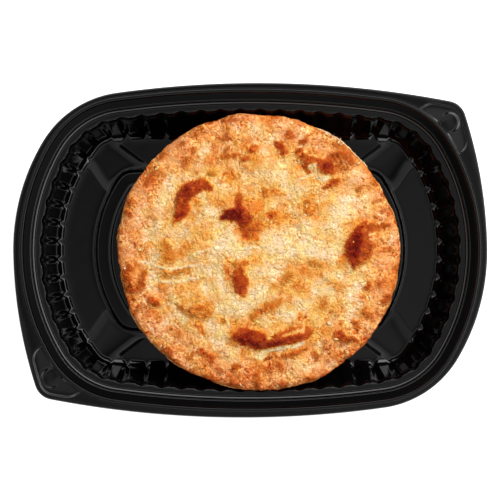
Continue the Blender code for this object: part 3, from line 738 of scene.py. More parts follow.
BROWNING_AND_LIP_SHADOW = (
    (0.80, 0.9, ((-25.6, 33.7, 1.9), (-29.3, 35.7, 3.1), (-33.2, 33.9, 3.8), (-37.2, 31.2, 4.0),
                  (-39.9, 27.5, 3.6), (-38.9, 24.1, 3.1), (-40.2, 20.6, 3.4), (-42.1, 17.9, 2.3),
                  (-44.0, 15.5, 0.7))),
    (0.82, 1.0, ((-19.2, 18.6, 0.9), (-16.7, 19.4, 2.4), (-13.0, 19.9, 3.1), (-10.1, 20.4, 3.9),
                  (-6.6, 17.7, 3.0), (-7.6, 14.2, 2.5))),
    (0.74, 1.0, ((-10.6, 28.8, 1.6), (-10.3, 25.1, 2.1), (-10.1, 21.1, 3.0))),
    (0.76, 1.2, ((-8.6, 14.7, 2.1), (-6.6, 11.8, 2.4), (-7.1, 8.8, 1.9))),
    (0.70, 1.6, ((-1.2, 12.8, 2.2), (-2.0, 12.8, 2.2), (-0.0, 14.7, 1.5))),
    (0.68, 1.4, ((-3.5, 9.3, 2.0), (-4.5, 12.8, 2.0))),
    (0.72, 1.2, ((6.1, 18.4, 1.6), (7.3, 20.1, 1.5))),
    (0.68, 1.0, ((-12.0, -5.8, 1.2), (-9.8, -6.7, 1.3), (-6.4, -5.3, 1.1))),
    (0.79, 0.9, ((-9.6, -8.2, 1.7), (-10.3, -12.2, 3.4), (-9.3, -15.6, 3.8), (-9.1, -19.1, 2.8),
                  (-8.3, -22.0, 1.2))),
    (0.86, 1.0, ((54.6, 13.7, 2.0), (52.2, 10.8, 3.5), (50.7, 6.8, 4.5), (49.2, 2.9, 4.9),
                  (49.7, 0.6, 5.8), (49.7, -2.3, 4.5), (48.7, -5.8, 1.8))),
    (0.74, 1.0, ((56.1, 12.8, 2.5), (60.1, 13.0, 2.3), (64.5, 14.0, 1.5), (67.7, 14.2, 0.6))),
    (0.74, 1.2, ((54.6, 8.3, 3.0), (56.1, 3.4, 3.0), (54.6, -0.3, 3.0), (52.7, -3.8, 2.5))),
    (0.83, 0.9, ((-14.4, -44.1, 0.6), (-11.5, -43.4, 2.7), (-8.1, -43.0, 4.5), (-4.2, -44.2, 4.9),
                  (-0.5, -45.7, 4.8), (-0.5, -46.2, 3.4), (4.4, -47.4, 2.6), (10.3, -46.2, 2.3),
                  (15.2, -45.2, 2.5), (20.2, -43.7, 2.1), (23.1, -43.0, 2.0), (25.6, -41.7, 1.9))),
    (0.76, 0.9, ((7.8, -43.7, 1.0), (11.8, -41.5, 1.0), (16.2, -39.8, 1.0), (21.1, -38.3, 0.5))),
    (0.74, 1.0, ((25.1, -39.8, 1.6), (26.3, -40.7, 1.5))),
    (0.80, 0.9, ((20.4, 51.7, 2.1), (23.1, 49.2, 2.0), (27.1, 47.7, 1.8), (31.0, 46.3, 2.2),
                  (34.9, 44.0, 4.0), (37.4, 42.1, 2.0))),
    (0.78, 0.9, ((23.8, 46.7, 1.5), (24.1, 44.0, 1.7), (25.3, 42.1, 1.5))),
    (0.73, 1.2, ((37.4, 48.7, 2.5), (41.3, 49.2, 3.3), (46.8, 48.2, 2.6), (48.2, 47.2, 1.3))),
    (0.66, 1.6, ((41.3, 44.8, 3.0), (44.8, 44.3, 2.0))),
    (0.76, 0.9, ((40.4, 37.1, 1.0), (38.4, 36.4, 2.1), (37.2, 34.9, 1.6), (33.9, 33.9, 0.7))),
    (0.76, 1.0, ((9.3, 56.6, 1.6), (10.8, 54.6, 2.6), (12.3, 51.7, 2.0), (14.7, 51.7, 0.9))),
    (0.74, 0.9, ((15.5, 62.0, 1.3), (15.2, 60.1, 1.7), (16.7, 60.5, 0.9))),
    (0.74, 0.9, ((22.4, 57.3, 1.3), (24.3, 58.3, 1.8))),
    (0.70, 1.0, ((-18.0, 49.5, 1.8), (-15.5, 50.2, 1.4))),
    (0.72, 0.9, ((-13.0, 50.0, 1.4), (-10.8, 50.7, 0.9))),
    (0.72, 0.9, ((-8.6, 47.7, 1.7), (-6.6, 48.5, 1.6))),
    (0.74, 0.9, ((-5.1, 52.9, 1.5), (-2.2, 53.9, 1.5), (-2.5, 53.2, 1.3))),
    (0.68, 0.8, ((-16.7, 52.7, 1.0), (-15.2, 54.1, 0.9))),
    (0.66, 1.0, ((-16.5, 61.5, 0.9), (-15.7, 64.0, 0.8))),
    (0.66, 1.2, ((-20.9, 58.6, 1.3), (-16.5, 59.1, 1.8))),
    (0.68, 0.8, ((-32.2, 40.8, 1.0),)),
    (0.64, 1.2, ((-24.6, 40.1, 1.4), (-22.9, 40.3, 1.0))),
    (0.66, 1.4, ((-38.4, 46.7, 2.2), (-37.2, 48.7, 1.5))),
    (0.66, 1.0, ((-33.7, 52.7, 1.4),)),
    (0.74, 0.9, ((-54.7, 41.1, 1.3), (-56.6, 37.9, 1.5), (-58.4, 34.7, 1.1))),
    (0.78, 0.7, ((-53.0, 43.8, 1.0),)),
    (0.72, 1.1, ((-66.0, 26.8, 1.7), (-67.2, 25.1, 1.3))),
    (0.74, 1.0, ((-67.7, 20.4, 1.6), (-66.5, 19.2, 1.3))),
    (0.70, 1.0, ((-29.3, 63.5, 1.4), (-32.2, 61.8, 1.8), (-34.7, 60.5, 1.2))),
    (0.70, 1.0, ((-39.1, 56.6, 1.5), (-42.1, 55.1, 1.0))),
    (0.66, 1.0, ((-49.0, 50.7, 1.0), (-51.5, 48.7, 1.0))),
    (0.68, 1.0, ((-18.0, 67.9, 1.3), (-13.0, 68.4, 1.3), (-8.6, 68.9, 1.0))),
    (0.62, 2.4, ((-47.5, 3.1, 2.2), (-47.0, 0.2, 3.0), (-48.5, -2.8, 2.4), (-45.0, -3.3, 2.0))),
    (0.60, 1.6, ((-49.0, -8.7, 1.1), (-47.5, -11.4, 1.3), (-42.1, -9.9, 1.7), (-37.7, -8.5, 1.4),
                  (-35.2, -7.5, 0.7))),
    (0.76, 1.0, ((-66.7, -7.7, 1.8), (-68.7, -11.2, 2.0), (-67.2, -15.6, 2.0), (-67.0, -19.1, 1.9))),
    (0.72, 1.2, ((-59.1, -10.4, 1.5), (-60.1, -13.6, 1.3), (-60.8, -17.6, 2.1), (-64.3, -19.6, 1.5))),
    (0.78, 0.8, ((-55.4, -24.7, 2.1), (-52.9, -26.2, 1.3), (-51.5, -26.9, 0.6))),
    (0.70, 0.7, ((-62.0, -27.9, 0.5), (-63.3, -30.4, 0.6), (-64.5, -32.1, 0.4))),
    (0.72, 0.8, ((-45.1, -39.3, 0.9),)),
    (0.62, 1.2, ((-42.6, -42.2, 1.5), (-41.1, -40.7, 1.0))),
    (0.63, 2.2, ((-40.4, -27.9, 1.0), (-37.7, -29.9, 1.3), (-34.7, -30.4, 2.0), (-31.3, -28.9, 2.0),
                  (-26.8, -27.9, 1.5), (-23.4, -26.4, 0.7))),
    (0.66, 1.8, ((-26.3, -30.9, 1.5), (-28.3, -32.4, 1.0))),
    (0.64, 1.2, ((-18.2, -35.1, 1.3),)),
    (0.76, 0.9, ((-47.8, -49.6, 1.7), (-46.0, -51.3, 1.5))),
    (0.76, 0.9, ((-30.0, -51.1, 2.0), (-27.3, -52.6, 1.5), (-24.8, -54.5, 1.6), (-24.4, -57.0, 0.9))),
    (0.72, 0.9, ((-13.0, -59.7, 1.6), (-11.5, -58.7, 1.0))),
    (0.68, 1.0, ((-35.7, -54.0, 1.5), (-34.2, -52.1, 1.0))),
    (0.66, 1.0, ((-20.9, -60.4, 1.3), (-18.4, -61.9, 1.0))),
    (0.70, 1.0, ((-13.5, -67.3, 2.0), (-11.1, -68.3, 1.5))),
    (0.77, 0.9, ((40.6, -42.5, 1.8), (42.1, -43.4, 2.5), (44.8, -45.2, 2.1), (47.3, -43.9, 1.6),
                  (50.5, -45.7, 1.0))),
    (0.72, 0.9, ((50.0, -36.5, 1.8), (51.2, -39.3, 1.3), (51.9, -40.7, 0.7))),
    (0.74, 0.9, ((55.9, -18.1, 1.7), (57.1, -16.8, 1.2))),
    (0.68, 1.2, ((62.0, -16.1, 1.8), (64.5, -14.6, 1.0))),
    (0.76, 0.9, ((66.5, -23.2, 1.7), (64.2, -25.5, 1.4))),
    (0.68, 1.1, ((54.1, -30.9, 2.0), (58.6, -32.9, 2.0), (61.0, -31.4, 1.0))),
    (0.64, 2.0, ((-3.2, -33.3, 0.9), (0.4, -30.1, 1.0), (4.9, -27.9, 1.6), (8.8, -26.7, 1.0),
                  (12.8, -24.5, 0.9), (15.7, -24.0, 1.2))),
    (0.72, 1.2, ((3.4, -28.8, 0.8), (6.4, -27.6, 1.0))),
    (0.60, 1.3, ((34.4, -25.7, 2.0), (32.0, -28.4, 1.3))),
    (0.58, 1.2, ((15.7, -11.7, 2.0), (12.5, -14.6, 1.3))),
    (0.60, 1.2, ((27.1, -5.3, 1.7), (32.5, -6.2, 1.2))),
    # These two strokes are painted shadow: a brown line under the torn lip of the bottom blister.
    (0.76, 0.7, ((3.4, -55.0, 0.8), (6.9, -53.8, 0.6))),
    (0.70, 0.8, ((11.8, -53.8, 0.8), (16.2, -53.1, 1.5), (20.2, -51.3, 1.2), (24.1, -49.6, 0.9))),
    (0.70, 0.9, ((29.0, -52.6, 1.6), (29.5, -54.5, 1.0))),
    (0.64, 1.2, ((33.9, -48.6, 1.5), (34.9, -45.7, 1.0))),
    (0.74, 0.9, ((10.3, -58.2, 1.4), (11.3, -60.0, 1.3))),
    (0.72, 0.9, ((5.4, -60.4, 2.0), (3.9, -60.0, 1.3))),
    (0.70, 1.0, ((24.6, -65.1, 1.3), (28.0, -64.6, 1.3))),
    (0.70, 1.0, ((44.8, -54.3, 1.3), (47.3, -52.1, 1.1))),
    (0.72, 1.0, ((11.8, -68.3, 1.8), (14.7, -67.3, 1.0))),
    (0.72, 1.0, ((-1.5, -63.9, 1.8), (-1.0, -67.8, 1.5))),
    (0.68, 0.8, ((61.8, 1.1, 0.6), (65.5, 0.6, 0.8), (68.4, 1.6, 0.5))),
    (0.64, 0.8, ((51.2, 32.5, 1.3), (52.9, 33.9, 1.0))),
    (0.70, 0.8, ((63.8, 30.5, 1.0), (64.2, 28.5, 0.7))),
    (0.64, 0.8, ((58.8, 35.9, 1.3),)),
    (0.66, 0.7, ((59.1, 26.1, 0.6), (62.5, 27.5, 0.6))),
    (0.66, 0.7, ((63.5, 20.6, 0.6), (67.0, 23.1, 0.5))),
    (0.66, 0.7, ((60.1, 18.7, 0.9), (63.0, 17.7, 0.6))),
    (0.68, 0.8, ((64.2, 1.7, 0.9), (67.9, 1.9, 0.6))),
    (0.64, 0.8, ((24.6, 25.6, 1.5), (25.1, 21.6, 1.8), (27.1, 20.1, 1.0))),
    (0.62, 0.9, ((2.9, 32.0, 1.5), (3.6, 29.5, 1.0))),
    (0.66, 0.8, ((38.9, 56.1, 1.0), (42.8, 54.1, 1.0), (45.8, 50.7, 0.7))),
)
DARK_CORES = (
    (0.98, 1.6, ((-37.2, 32.5, 1.7), (-37.7, 29.5, 1.0))),
    (0.97, 1.6, ((-40.1, 19.7, 1.7), (-42.1, 18.4, 1.0))),
    (1.04, 1.4, ((-18.0, 18.2, 1.4), (-15.0, 19.6, 2.6), (-11.4, 19.8, 2.8), (-9.8, 16.2, 1.8))),
    (0.96, 1.4, ((-10.8, 25.4, 1.0), (-10.4, 22.0, 1.6))),
    (1.02, 1.8, ((51.7, 9.3, 1.5), (50.7, 5.4, 2.2), (48.7, 1.6, 2.5), (49.2, -1.3, 1.8))),
    (0.98, 1.6, ((-10.1, -44.2, 1.7), (-5.1, -46.2, 2.0), (-0.7, -47.6, 1.5), (-1.5, -48.1, 1.0))),
    (0.95, 1.4, ((4.9, -47.6, 1.0), (10.8, -47.1, 1.0))),
    (1.00, 1.3, ((33.5, 44.3, 1.5), (36.4, 44.5, 1.3))),
    (0.92, 1.4, ((-8.3, -9.2, 0.9),)),
    (0.90, 1.4, ((42.1, -42.2, 1.2),)),
    (0.90, 1.4, ((10.8, 54.1, 1.2),)),
)
PALE_FLAKES_AND_HIGHLIGHT = (
    (0.10, 0.5, ((26.1, 43.8, 1.1), (29.0, 45.3, 0.9))),
    (0.10, 0.5, ((30.5, 38.6, 0.8), (33.5, 38.1, 1.5), (36.4, 38.9, 0.6))),
    (0.12, 0.6, ((-62.0, -4.5, 0.3), (-56.0, -6.0, 0.4), (-51.2, -7.6, 0.6), (-45.0, -8.4, 0.5),
                  (-39.0, -7.4, 0.5), (-33.2, -6.6, 0.4), (-27.0, -6.0, 0.3))),
    (0.12, 0.6, ((-57.0, -9.0, 0.3), (-54.5, -12.8, 0.5), (-50.0, -15.0, 0.6), (-45.0, -15.3, 0.6),
                  (-40.0, -14.9, 0.5), (-35.0, -13.4, 0.4), (-30.0, -12.6, 0.4))),
    (0.10, 0.6, ((-34.0, -1.0, 0.3), (-26.0, 1.6, 0.4), (-18.0, 2.4, 0.5), (-10.0, 1.4, 0.4),
                  (-2.0, 2.6, 0.4), (6.0, 3.8, 0.3))),
    (0.10, 0.6, ((4.0, 0.4, 0.3), (11.0, 3.4, 0.4), (18.0, 6.6, 0.4), (22.0, 9.6, 0.3))),
    (0.12, 0.6, ((0.4, -51.6, 0.8), (7.3, -49.9, 0.9), (14.2, -48.6, 0.7), (18.7, -48.4, 0.9),
                  (22.9, -46.6, 0.7))),
    (0.00, 0.6, ((-1.5, -53.8, 1.1), (0.9, -53.5, 1.9), (2.9, -52.6, 1.0))),
    (0.12, 0.6, ((-17.2, -32.9, 0.4), (-16.2, -35.8, 0.5), (-15.2, -38.8, 0.4))),
    (0.30, 0.6, ((42.8, 47.7, 0.4),)),
    # A painted highlight: a pale dot on the right blister's dark core.
    (0.08, 0.4, ((48.5, 5.5, 0.3),)),
    (0.30, 0.6, ((57.1, 9.3, 0.7), (59.6, 9.8, 0.6))),
    (0.34, 0.6, ((57.6, 6.8, 0.6), (61.0, 7.3, 0.6))),
    (0.12, 0.5, ((24.6, 24.1, 0.4),)),
    (0.10, 0.5, ((20.2, 37.4, 0.4), (25.1, 39.4, 0.5), (28.0, 40.3, 0.4))),
)

# Wide, weak washes under all of the other strokes.
WASHES = (
    (0.62, 5.0, ((4.0, 12.0, 3.0), (14.0, 20.0, 6.0), (24.0, 22.0, 6.0), (30.0, 28.0, 4.0))),
    (0.56, 5.0, ((-4.0, 35.0, 4.0), (4.0, 31.0, 4.0))),
    (0.54, 6.0, ((31.0, -18.0, 7.0), (27.0, -10.0, 3.0))),
    (0.56, 6.0, ((-31.0, -18.0, 5.0), (-36.0, -24.0, 4.0))),
    (0.60, 5.0, ((20.0, 40.0, 5.0), (27.0, 37.0, 4.0))),
    (0.58, 6.0, ((-47.0, -2.0, 6.0), (-45.0, 6.0, 3.0))),
    (0.58, 6.0, ((56.0, 3.0, 6.0), (54.0, -8.0, 4.0))),
    (0.52, 6.0, ((-28.0, -48.0, 6.0), (-36.0, -46.0, 4.0))),
    (0.60, 6.0, ((24.0, -49.0, 5.0), (33.0, -46.0, 4.0))),
    (0.54, 5.0, ((-19.0, 29.0, 5.0), (-15.0, 24.0, 5.0))),
    (0.64, 5.0, ((30.0, 60.0, 4.0), (38.0, 56.0, 4.0))),
    (0.60, 5.0, ((-6.0, 67.0, 3.0), (8.0, 67.0, 3.0))),
    (0.60, 5.0, ((60.0, 2.0, 4.0), (61.0, 16.0, 4.0))),
    (0.60, 5.0, ((-33.0, -54.0, 4.0), (-27.0, -57.0, 4.0))),
    (0.34, 5.0, ((-36.0, 42.0, 4.0), (-48.0, 28.0, 5.0), (-54.0, 10.0, 4.0))),
    (0.30, 5.0, ((57.0, -31.0, 5.0), (62.0, -24.0, 5.0), (60.0, -38.0, 4.0))),
)
print("strokes:", len(WASHES), "washes,", len(GLOWS), "glows,", len(PALE_PATCHES), "pale,",
      len(BROWNING_AND_LIP_SHADOW), "browned,", len(DARK_CORES), "dark,", len(PALE_FLAKES_AND_HIGHLIGHT), "flakes")

# %% One stroke
def chain_distance(chain, x, y):
    """Distance outside a chain of spots joined by tapering bars, negative inside."""
    nearest = np.full(len(x), np.inf)
    spots = list(chain) if len(chain) > 1 else [chain[0], chain[0]]
    for (ax, ay, ar), (bx, by, br) in zip(spots, spots[1:]):
        length = max((bx - ax) ** 2 + (by - ay) ** 2, TINY)
        part = np.clip(((x - ax) * (bx - ax) + (y - ay) * (by - ay)) / length, 0.0, 1.0)
        away = np.hypot(x - ax - part * (bx - ax), y - ay - part * (by - ay))
        nearest = np.minimum(nearest, away - between(ar, br, part))
    return nearest


def paint(tone, strokes, fray, strength):
    """Move the tone towards that of each stroke, inside it and across its soft edge."""
    covered = np.zeros(len(x))
    for level, edge, chain in strokes:
        inside = -(chain_distance(chain, x, y) + fray * min(1.0, edge))
        cover = strength * rise(inside, -edge, edge)
        tone = between(tone, level, cover)
        covered = np.maximum(covered, cover)
    return tone, covered


outside = chain_distance(BROWNING_AND_LIP_SHADOW[0][-1], x, y)
print("the first browned patch covers", int((outside < 0.0).sum()), "points of the net")

# %% Paint the strokes
# Radius in mm and the tone there, before any stroke, and where the rim's own look sets in.
TONE_BY_RADIUS = ((0.0, 0.435), (18.0, 0.43), (36.0, 0.42), (45.0, 0.41), (56.0, 0.43),
                  (63.0, 0.46), (68.0, 0.48), (71.0, 0.56))
RIM_RADII = (46.0, 68.0)
# Noise that frays the edges, from the widest to the finest: waves a millimetre, and weight.
FRAYS = ((0.20, 0.5), (0.55, 0.6), (1.3, 0.45))
FRAY_SHIFT, FRAY_SIZE = 7.0, 0.9
# Noise that mottles the tone, as for the relief, and how much of it the rim loses.
MOTTLE_NOISES = ((0.07, 31.0), (0.14, 53.0))
MOTTLE, MOTTLE_LOST = 0.13, 0.3
# Weights of the wider and the finer of two noises: in the middle, on brown, and on the side.
FRECKLES, BROWN_FRECKLES, SIDE_FRECKLES = (0.04, 0.05), (0.05, 0.06), (0.10, 0.06)
# The side is darker than its baking makes it: painted shade for the gap between pie and wall.
SIDE_TONE_AND_SHADE = 0.78
# Each browned patch, and each stroke of painted shadow under the torn lip, lies in a softer halo:
# its tone, its edge and how far it reaches out, in mm.
HALO_TONE, HALO_EDGE, HALO_REACH = 0.54, 3.2, 1.0

frays = [noise_at(x, y, z, scale, FRAY_SHIFT * k) for k, (scale, _) in enumerate(FRAYS)]
wide_fray, mid_fray, fine_fray = frays
fray = FRAY_SIZE * sum(weight * noisy for (_, weight), noisy in zip(FRAYS, frays))
to_rim = rise(radius, *RIM_RADII)
mottle = MOTTLE * sum(noise_at(x, y, z, *kind) for kind in MOTTLE_NOISES)
tone = np.interp(radius, *zip(*TONE_BY_RADIUS)) + mottle * (1.0 - MOTTLE_LOST * to_rim)
tone = tone + FRECKLES[0] * wide_fray + FRECKLES[1] * mid_fray
halos = [(HALO_TONE, HALO_EDGE, [(*spot, size + HALO_REACH) for *spot, size in chain])
         for _, _, chain in BROWNING_AND_LIP_SHADOW]
# The coats in their order: the strokes, how much noise frays them, and how well they cover.
COATS = {"washes": (WASHES, 2.5, 0.6), "glows": (GLOWS, 1.6, 0.85),
         "pale": (PALE_PATCHES, 1.6, 0.7), "halos": (halos, 2.2, 0.55),
         "brown": (BROWNING_AND_LIP_SHADOW, 1.0, 0.95), "dark": (DARK_CORES, 1.0, 0.8),
         "flakes": (PALE_FLAKES_AND_HIGHLIGHT, 0.5, 1.0)}
covers = {}
for coat, (strokes, fraying, strength) in COATS.items():
    tone, covers[coat] = paint(tone, strokes, fraying * fray, strength)
# This cover holds the browned patches and the painted shadow under the torn lip; it becomes the
# blister values.
brown = covers["brown"]
tone = tone + brown * (BROWN_FRECKLES[0] * mid_fray + BROWN_FRECKLES[1] * fine_fray)
below = 1.0 - on_crust
# Below the crust the side takes its tone, darkened as painted shade.
side_tone_and_shade = SIDE_TONE_AND_SHADE + SIDE_FRECKLES[0] * wide_fray + SIDE_FRECKLES[1] * mid_fray
tone = tone * on_crust + below * side_tone_and_shade
print("tone from", round(float(tone.min()), 2), "to", round(float(tone.max()), 2))

# %% [markdown]
# ## Relief that follows the browning
# Bubbles roughen what has browned, and pale flakes stand up from the crust, so this relief can
# only be added once the strokes are painted. Bubbles that rise above the rest burst and sink back,
# so the highest spots are pressed down. Bump in the material could fake all of this from above,
# but it would leave the crust's outline smooth when it is seen from the side.

# %% The pie's mesh
# Sizes in mm for the finest, the middling and the widest noise, and of bubbles and flakes.
FINE_RELIEF, RIM_RELIEF = (0.14, 0.20, 0.22), 0.10
BUBBLE_RELIEF, FLAKE_RELIEF = (0.45, 0.35), 0.35
# What stands above this height, in mm over the base, is pressed down to this share.
CRUST_TOP, TOP_SQUEEZE = 44.5, 0.4


def paint_layers(piece, layers):
    """Keep values on a mesh's points, where a material can read them by name."""
    for name, values in layers.items():
        layer = piece.data.attributes.new(name, "FLOAT", "POINT")
        layer.data.foreach_set("value", values.astype(np.float32))


fine = sum(size * noisy for size, noisy in zip(FINE_RELIEF, reversed(frays)))
fine = fine + RIM_RELIEF * to_rim * fine_fray
bubbles = BUBBLE_RELIEF[0] * np.abs(fine_fray) + BUBBLE_RELIEF[1] * np.abs(mid_fray)
# The flakes' cover also raises the painted highlight dot on the right blister.
z = z + on_crust * (fine + brown * bubbles + FLAKE_RELIEF * covers["flakes"])
z = np.minimum(z, CRUST_TOP + (z - CRUST_TOP) * TOP_SQUEEZE)
points = np.column_stack([x * MM + PIE_MIDDLE[0], y * MM + PIE_MIDDLE[1], z * MM + PIE_BASE])
pie = mesh_object("pie_crust", points, pie_faces)
paint_layers(pie, {"toast": tone, "rim": to_rim, "blister": brown})
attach(pie, "root")
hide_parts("pie")
print("the pie's top is", round(float(points[:, 2].max()) / MM, 1), "mm above the table")

# %% [markdown]
# ## Torn layers and loose flakes
# Short crust is laminated, so it splits into leaves where it was trimmed. At the upper right the
# rim's outermost leaves have come away as thin pale strips that follow the edge, and a few stand
# out from it. Smaller leaves lie loose on the crust, most of them by the rim and round the torn
# blisters. Each is a thin, pointed leaf with a lens for its section. They are all one mesh, sunk
# a little into the crust they lie on, with their places drawn from one seeded row of numbers.

# %% One leaf of dough
LEAF_STEPS, LEAF_SIDES = 8, 6
LEAF_THICKNESS = 0.30
LEAF_FULLNESS, LEAF_TIP = 0.6, 0.08


def leaf(path, width):
    """A pointed leaf along a path of points: its points and faces, numbered from 0."""
    path = np.array(path)
    run = np.gradient(path, axis=0)
    run /= np.linalg.norm(run, axis=1)[:, None]
    across = np.cross(run, (0.0, 0.0, 1.0))
    upward = np.cross(across, run)
    share = np.linspace(0.0, 1.0, len(path))
    slim = np.maximum(np.sin(math.pi * share) ** LEAF_FULLNESS, LEAF_TIP)
    points = []
    for k in range(LEAF_SIDES):
        angle = 2.0 * math.pi * k / LEAF_SIDES
        points.append(path + across * (0.5 * width * slim * math.cos(angle))[:, None]
                      + upward * (0.5 * LEAF_THICKNESS * slim * math.sin(angle))[:, None])
    points = np.stack(points, 1).reshape(-1, 3)
    faces = []
    for step in range(len(path) - 1):
        for k in range(LEAF_SIDES):
            a, b = step * LEAF_SIDES + k, step * LEAF_SIDES + (k + 1) % LEAF_SIDES
            faces.append((a, b, b + LEAF_SIDES, a + LEAF_SIDES))
    last = (len(path) - 1) * LEAF_SIDES
    faces.append(tuple(range(LEAF_SIDES))[::-1])
    faces.append(tuple(last + k for k in range(LEAF_SIDES)))
    return points, faces


print("one leaf:", LEAF_STEPS, "rings of", LEAF_SIDES, "points")

# %% Leaves that lie on the crust
LEAF_BOW = 0.25
LEAF_ABOVE = 0.05
RIM_STRIP = 0.9
LEAF_SEED = 5

rng = random.Random(LEAF_SEED)
top_x, top_y, top_z = x[:span * span], y[:span * span], z[:span * span]


def crust_point(place):
    """The number of the crust's point nearest to a place."""
    return ((top_x - place[0]) ** 2 + (top_y - place[1]) ** 2).argmin()


def straight_leaf(place, degrees, length, width, lift):
    """A slightly bowed leaf that lies on the crust, with its far end lifted."""
    heading = heading_of(degrees)
    bow = rng.uniform(-LEAF_BOW, LEAF_BOW)
    path = []
    for k in range(LEAF_STEPS):
        part = k / (LEAF_STEPS - 1)
        along, aside = (part - 0.5) * length, bow * length * (part - part * part)
        spot = (place[0] + heading[0] * along - heading[1] * aside,
                place[1] + heading[1] * along + heading[0] * aside)
        path.append((*spot, top_z[crust_point(spot)] + LEAF_ABOVE + lift * part ** 2))
    return leaf(path, width)


def rim_at(degrees):
    """The outermost point of the rim in this direction: radius and height in mm."""
    cosine, sine = heading_of(degrees)
    near = (np.abs(x * sine - y * cosine) < RIM_STRIP) & (x * cosine + y * sine > 0.0)
    reach = np.where(near & (z > CRUST_HEIGHTS[0]), np.hypot(x, y), 0.0)
    return float(reach.max()), float(z[reach.argmax()])


print("the rim reaches", round(rim_at(0.0)[0], 1), "mm towards +X")

# %% Torn strips and standing leaves
# Start and end in degrees round the rim, outward offset and height offset in mm, and width.
TORN_STRIPS = (
    (38.0, 47.0, 0.15, -0.9, 0.8), (44.0, 55.0, 0.05, -0.4, 0.9), (52.0, 58.0, 0.35, -1.2, 0.7),
    (57.0, 66.0, 0.10, -0.6, 0.7), (26.0, 34.0, 0.10, -0.8, 0.7), (14.0, 21.0, 0.10, -0.7, 0.6),
    (-16.0, -8.0, 0.10, -0.9, 0.6), (96.0, 106.0, 0.05, -0.6, 0.7),
    (203.0, 214.0, 0.10, -0.8, 0.7), (228.0, 236.0, 0.10, -0.7, 0.7),
    (250.0, 262.0, 0.05, -0.6, 0.8), (168.0, 176.0, 0.10, -0.9, 0.6))
STRIP_STEPS, STRIP_WANDER, STRIP_WAVE = 16, 0.08, 0.1
# Place in mm, heading in degrees, length, width and how far the far end is lifted.
STANDING_LEAVES = (
    ((41.2, 57.6), 62.0, 3.4, 1.0, 0.9), ((42.6, 56.0), 20.0, 2.4, 0.8, 0.5),
    ((35.2, 61.0), 140.0, 3.6, 0.9, 0.5), ((38.6, 59.2), -38.0, 3.0, 0.7, 0.4),
    ((29.6, 38.6), 10.0, 4.5, 1.2, 0.4), ((27.0, 44.6), 20.0, 4.0, 1.1, 0.4),
    ((0.5, -52.6), 2.0, 4.2, 1.4, 0.3), ((9.0, -50.4), 12.0, 6.0, 1.0, 0.4),
    ((19.0, -48.6), 20.0, 5.0, 1.0, 0.4), ((-44.6, -25.6), 50.0, 2.6, 0.9, 0.3))
# Tones: of most strips, of the freshly torn ones between TORN_DEGREES, and of standing leaves.
STRIP_TONES, TORN_TONES, TORN_DEGREES = (0.40, 0.60), (0.08, 0.24), (30.0, 70.0)
STANDING_TONES = (0.02, 0.16)

leaves, tones = [], []
for start, end, outwards, drop, width in TORN_STRIPS:
    path = []
    for k in range(STRIP_STEPS):
        degrees = between(start, end, k / (STRIP_STEPS - 1))
        reach, level = rim_at(degrees)
        reach += outwards + rng.uniform(-STRIP_WANDER, STRIP_WANDER)
        level += drop + rng.uniform(-STRIP_WAVE, STRIP_WAVE)
        path.append((*heading_of(degrees) * reach, level))
    leaves.append(leaf(path, width))
    torn = TORN_DEGREES[0] < start < TORN_DEGREES[1]
    tones.append(rng.uniform(*(TORN_TONES if torn else STRIP_TONES)))
for row in STANDING_LEAVES:
    leaves.append(straight_leaf(*row))
    tones.append(rng.uniform(*STANDING_TONES))
print(len(leaves), "strips and standing leaves")

# %% Loose leaves
LOOSE_LEAVES = 190
LOOSE_RADIUS, LOOSE_INMOST, LOOSE_CROWDING = 70.0, 0.05, 0.38
LOOSE_SIZES, LOOSE_WIDTHS, LOOSE_LIFT = (0.8, 2.2), (0.35, 0.65), 0.25
SMALL_SHARE, LARGER = 0.85, 1.5
LOOSE_TONES = (0.16, 0.52)
# No loose leaf lies where the crust browned by more than this share.
BROWNED = 0.1

for _ in range(LOOSE_LEAVES):
    reach = LOOSE_RADIUS * rng.uniform(LOOSE_INMOST, 1.0) ** LOOSE_CROWDING
    place = heading_of(rng.uniform(0.0, 360.0)) * reach
    if brown[crust_point(place)] > BROWNED:
        continue
    size = rng.uniform(*LOOSE_SIZES) * (1.0 if rng.random() < SMALL_SHARE else LARGER)
    leaves.append(straight_leaf(place, rng.uniform(0.0, 360.0), size,
                                rng.uniform(*LOOSE_WIDTHS) * size, rng.uniform(0.0, LOOSE_LIFT)))
    tones.append(rng.uniform(*LOOSE_TONES))
print(len(leaves), "leaves in all")

# %% The leaves' mesh
# Leaves take their hue from between the middle's and the rim's.
LEAF_RIM = 0.6

leaf_points, leaf_faces, leaf_tones = [], [], []
for (points, faces), level in zip(leaves, tones):
    base = len(leaf_tones)
    leaf_points.append(points)
    leaf_faces += [tuple(base + corner for corner in face) for face in faces]
    leaf_tones += [level] * len(points)
places = np.concatenate(leaf_points) * MM + (*PIE_MIDDLE, PIE_BASE)
flakes = mesh_object("loose_flakes", places, leaf_faces)
paint_layers(flakes, {"toast": np.array(leaf_tones), "rim": np.full(len(places), LEAF_RIM),
                      "blister": np.zeros(len(places))})
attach(flakes, "root")
print("leaves:", len(places), "points,", len(leaf_faces), "faces")

# %% [markdown]
# ## Glossy black plastic
# Almost nothing of the tray's look is colour: it is the light mirrored in every edge. So its base
# is nearly black, its roughness low, and a faint waviness in the surface breaks up the mirrored
# light, as a drawn sheet does. Grey painted along the edges would look right from one side only.
# A finish is a network of nodes, worked out from a point's own place, so there is no picture to
# unwrap or to stretch. Networks are long to write out, so a helper makes each node and feeds it.

# %% Helpers for nodes and links
def new_material(name):
    material = bpy.data.materials.new(name)
    material.use_nodes = True
    return material, material.node_tree, material.node_tree.nodes["Principled BSDF"]


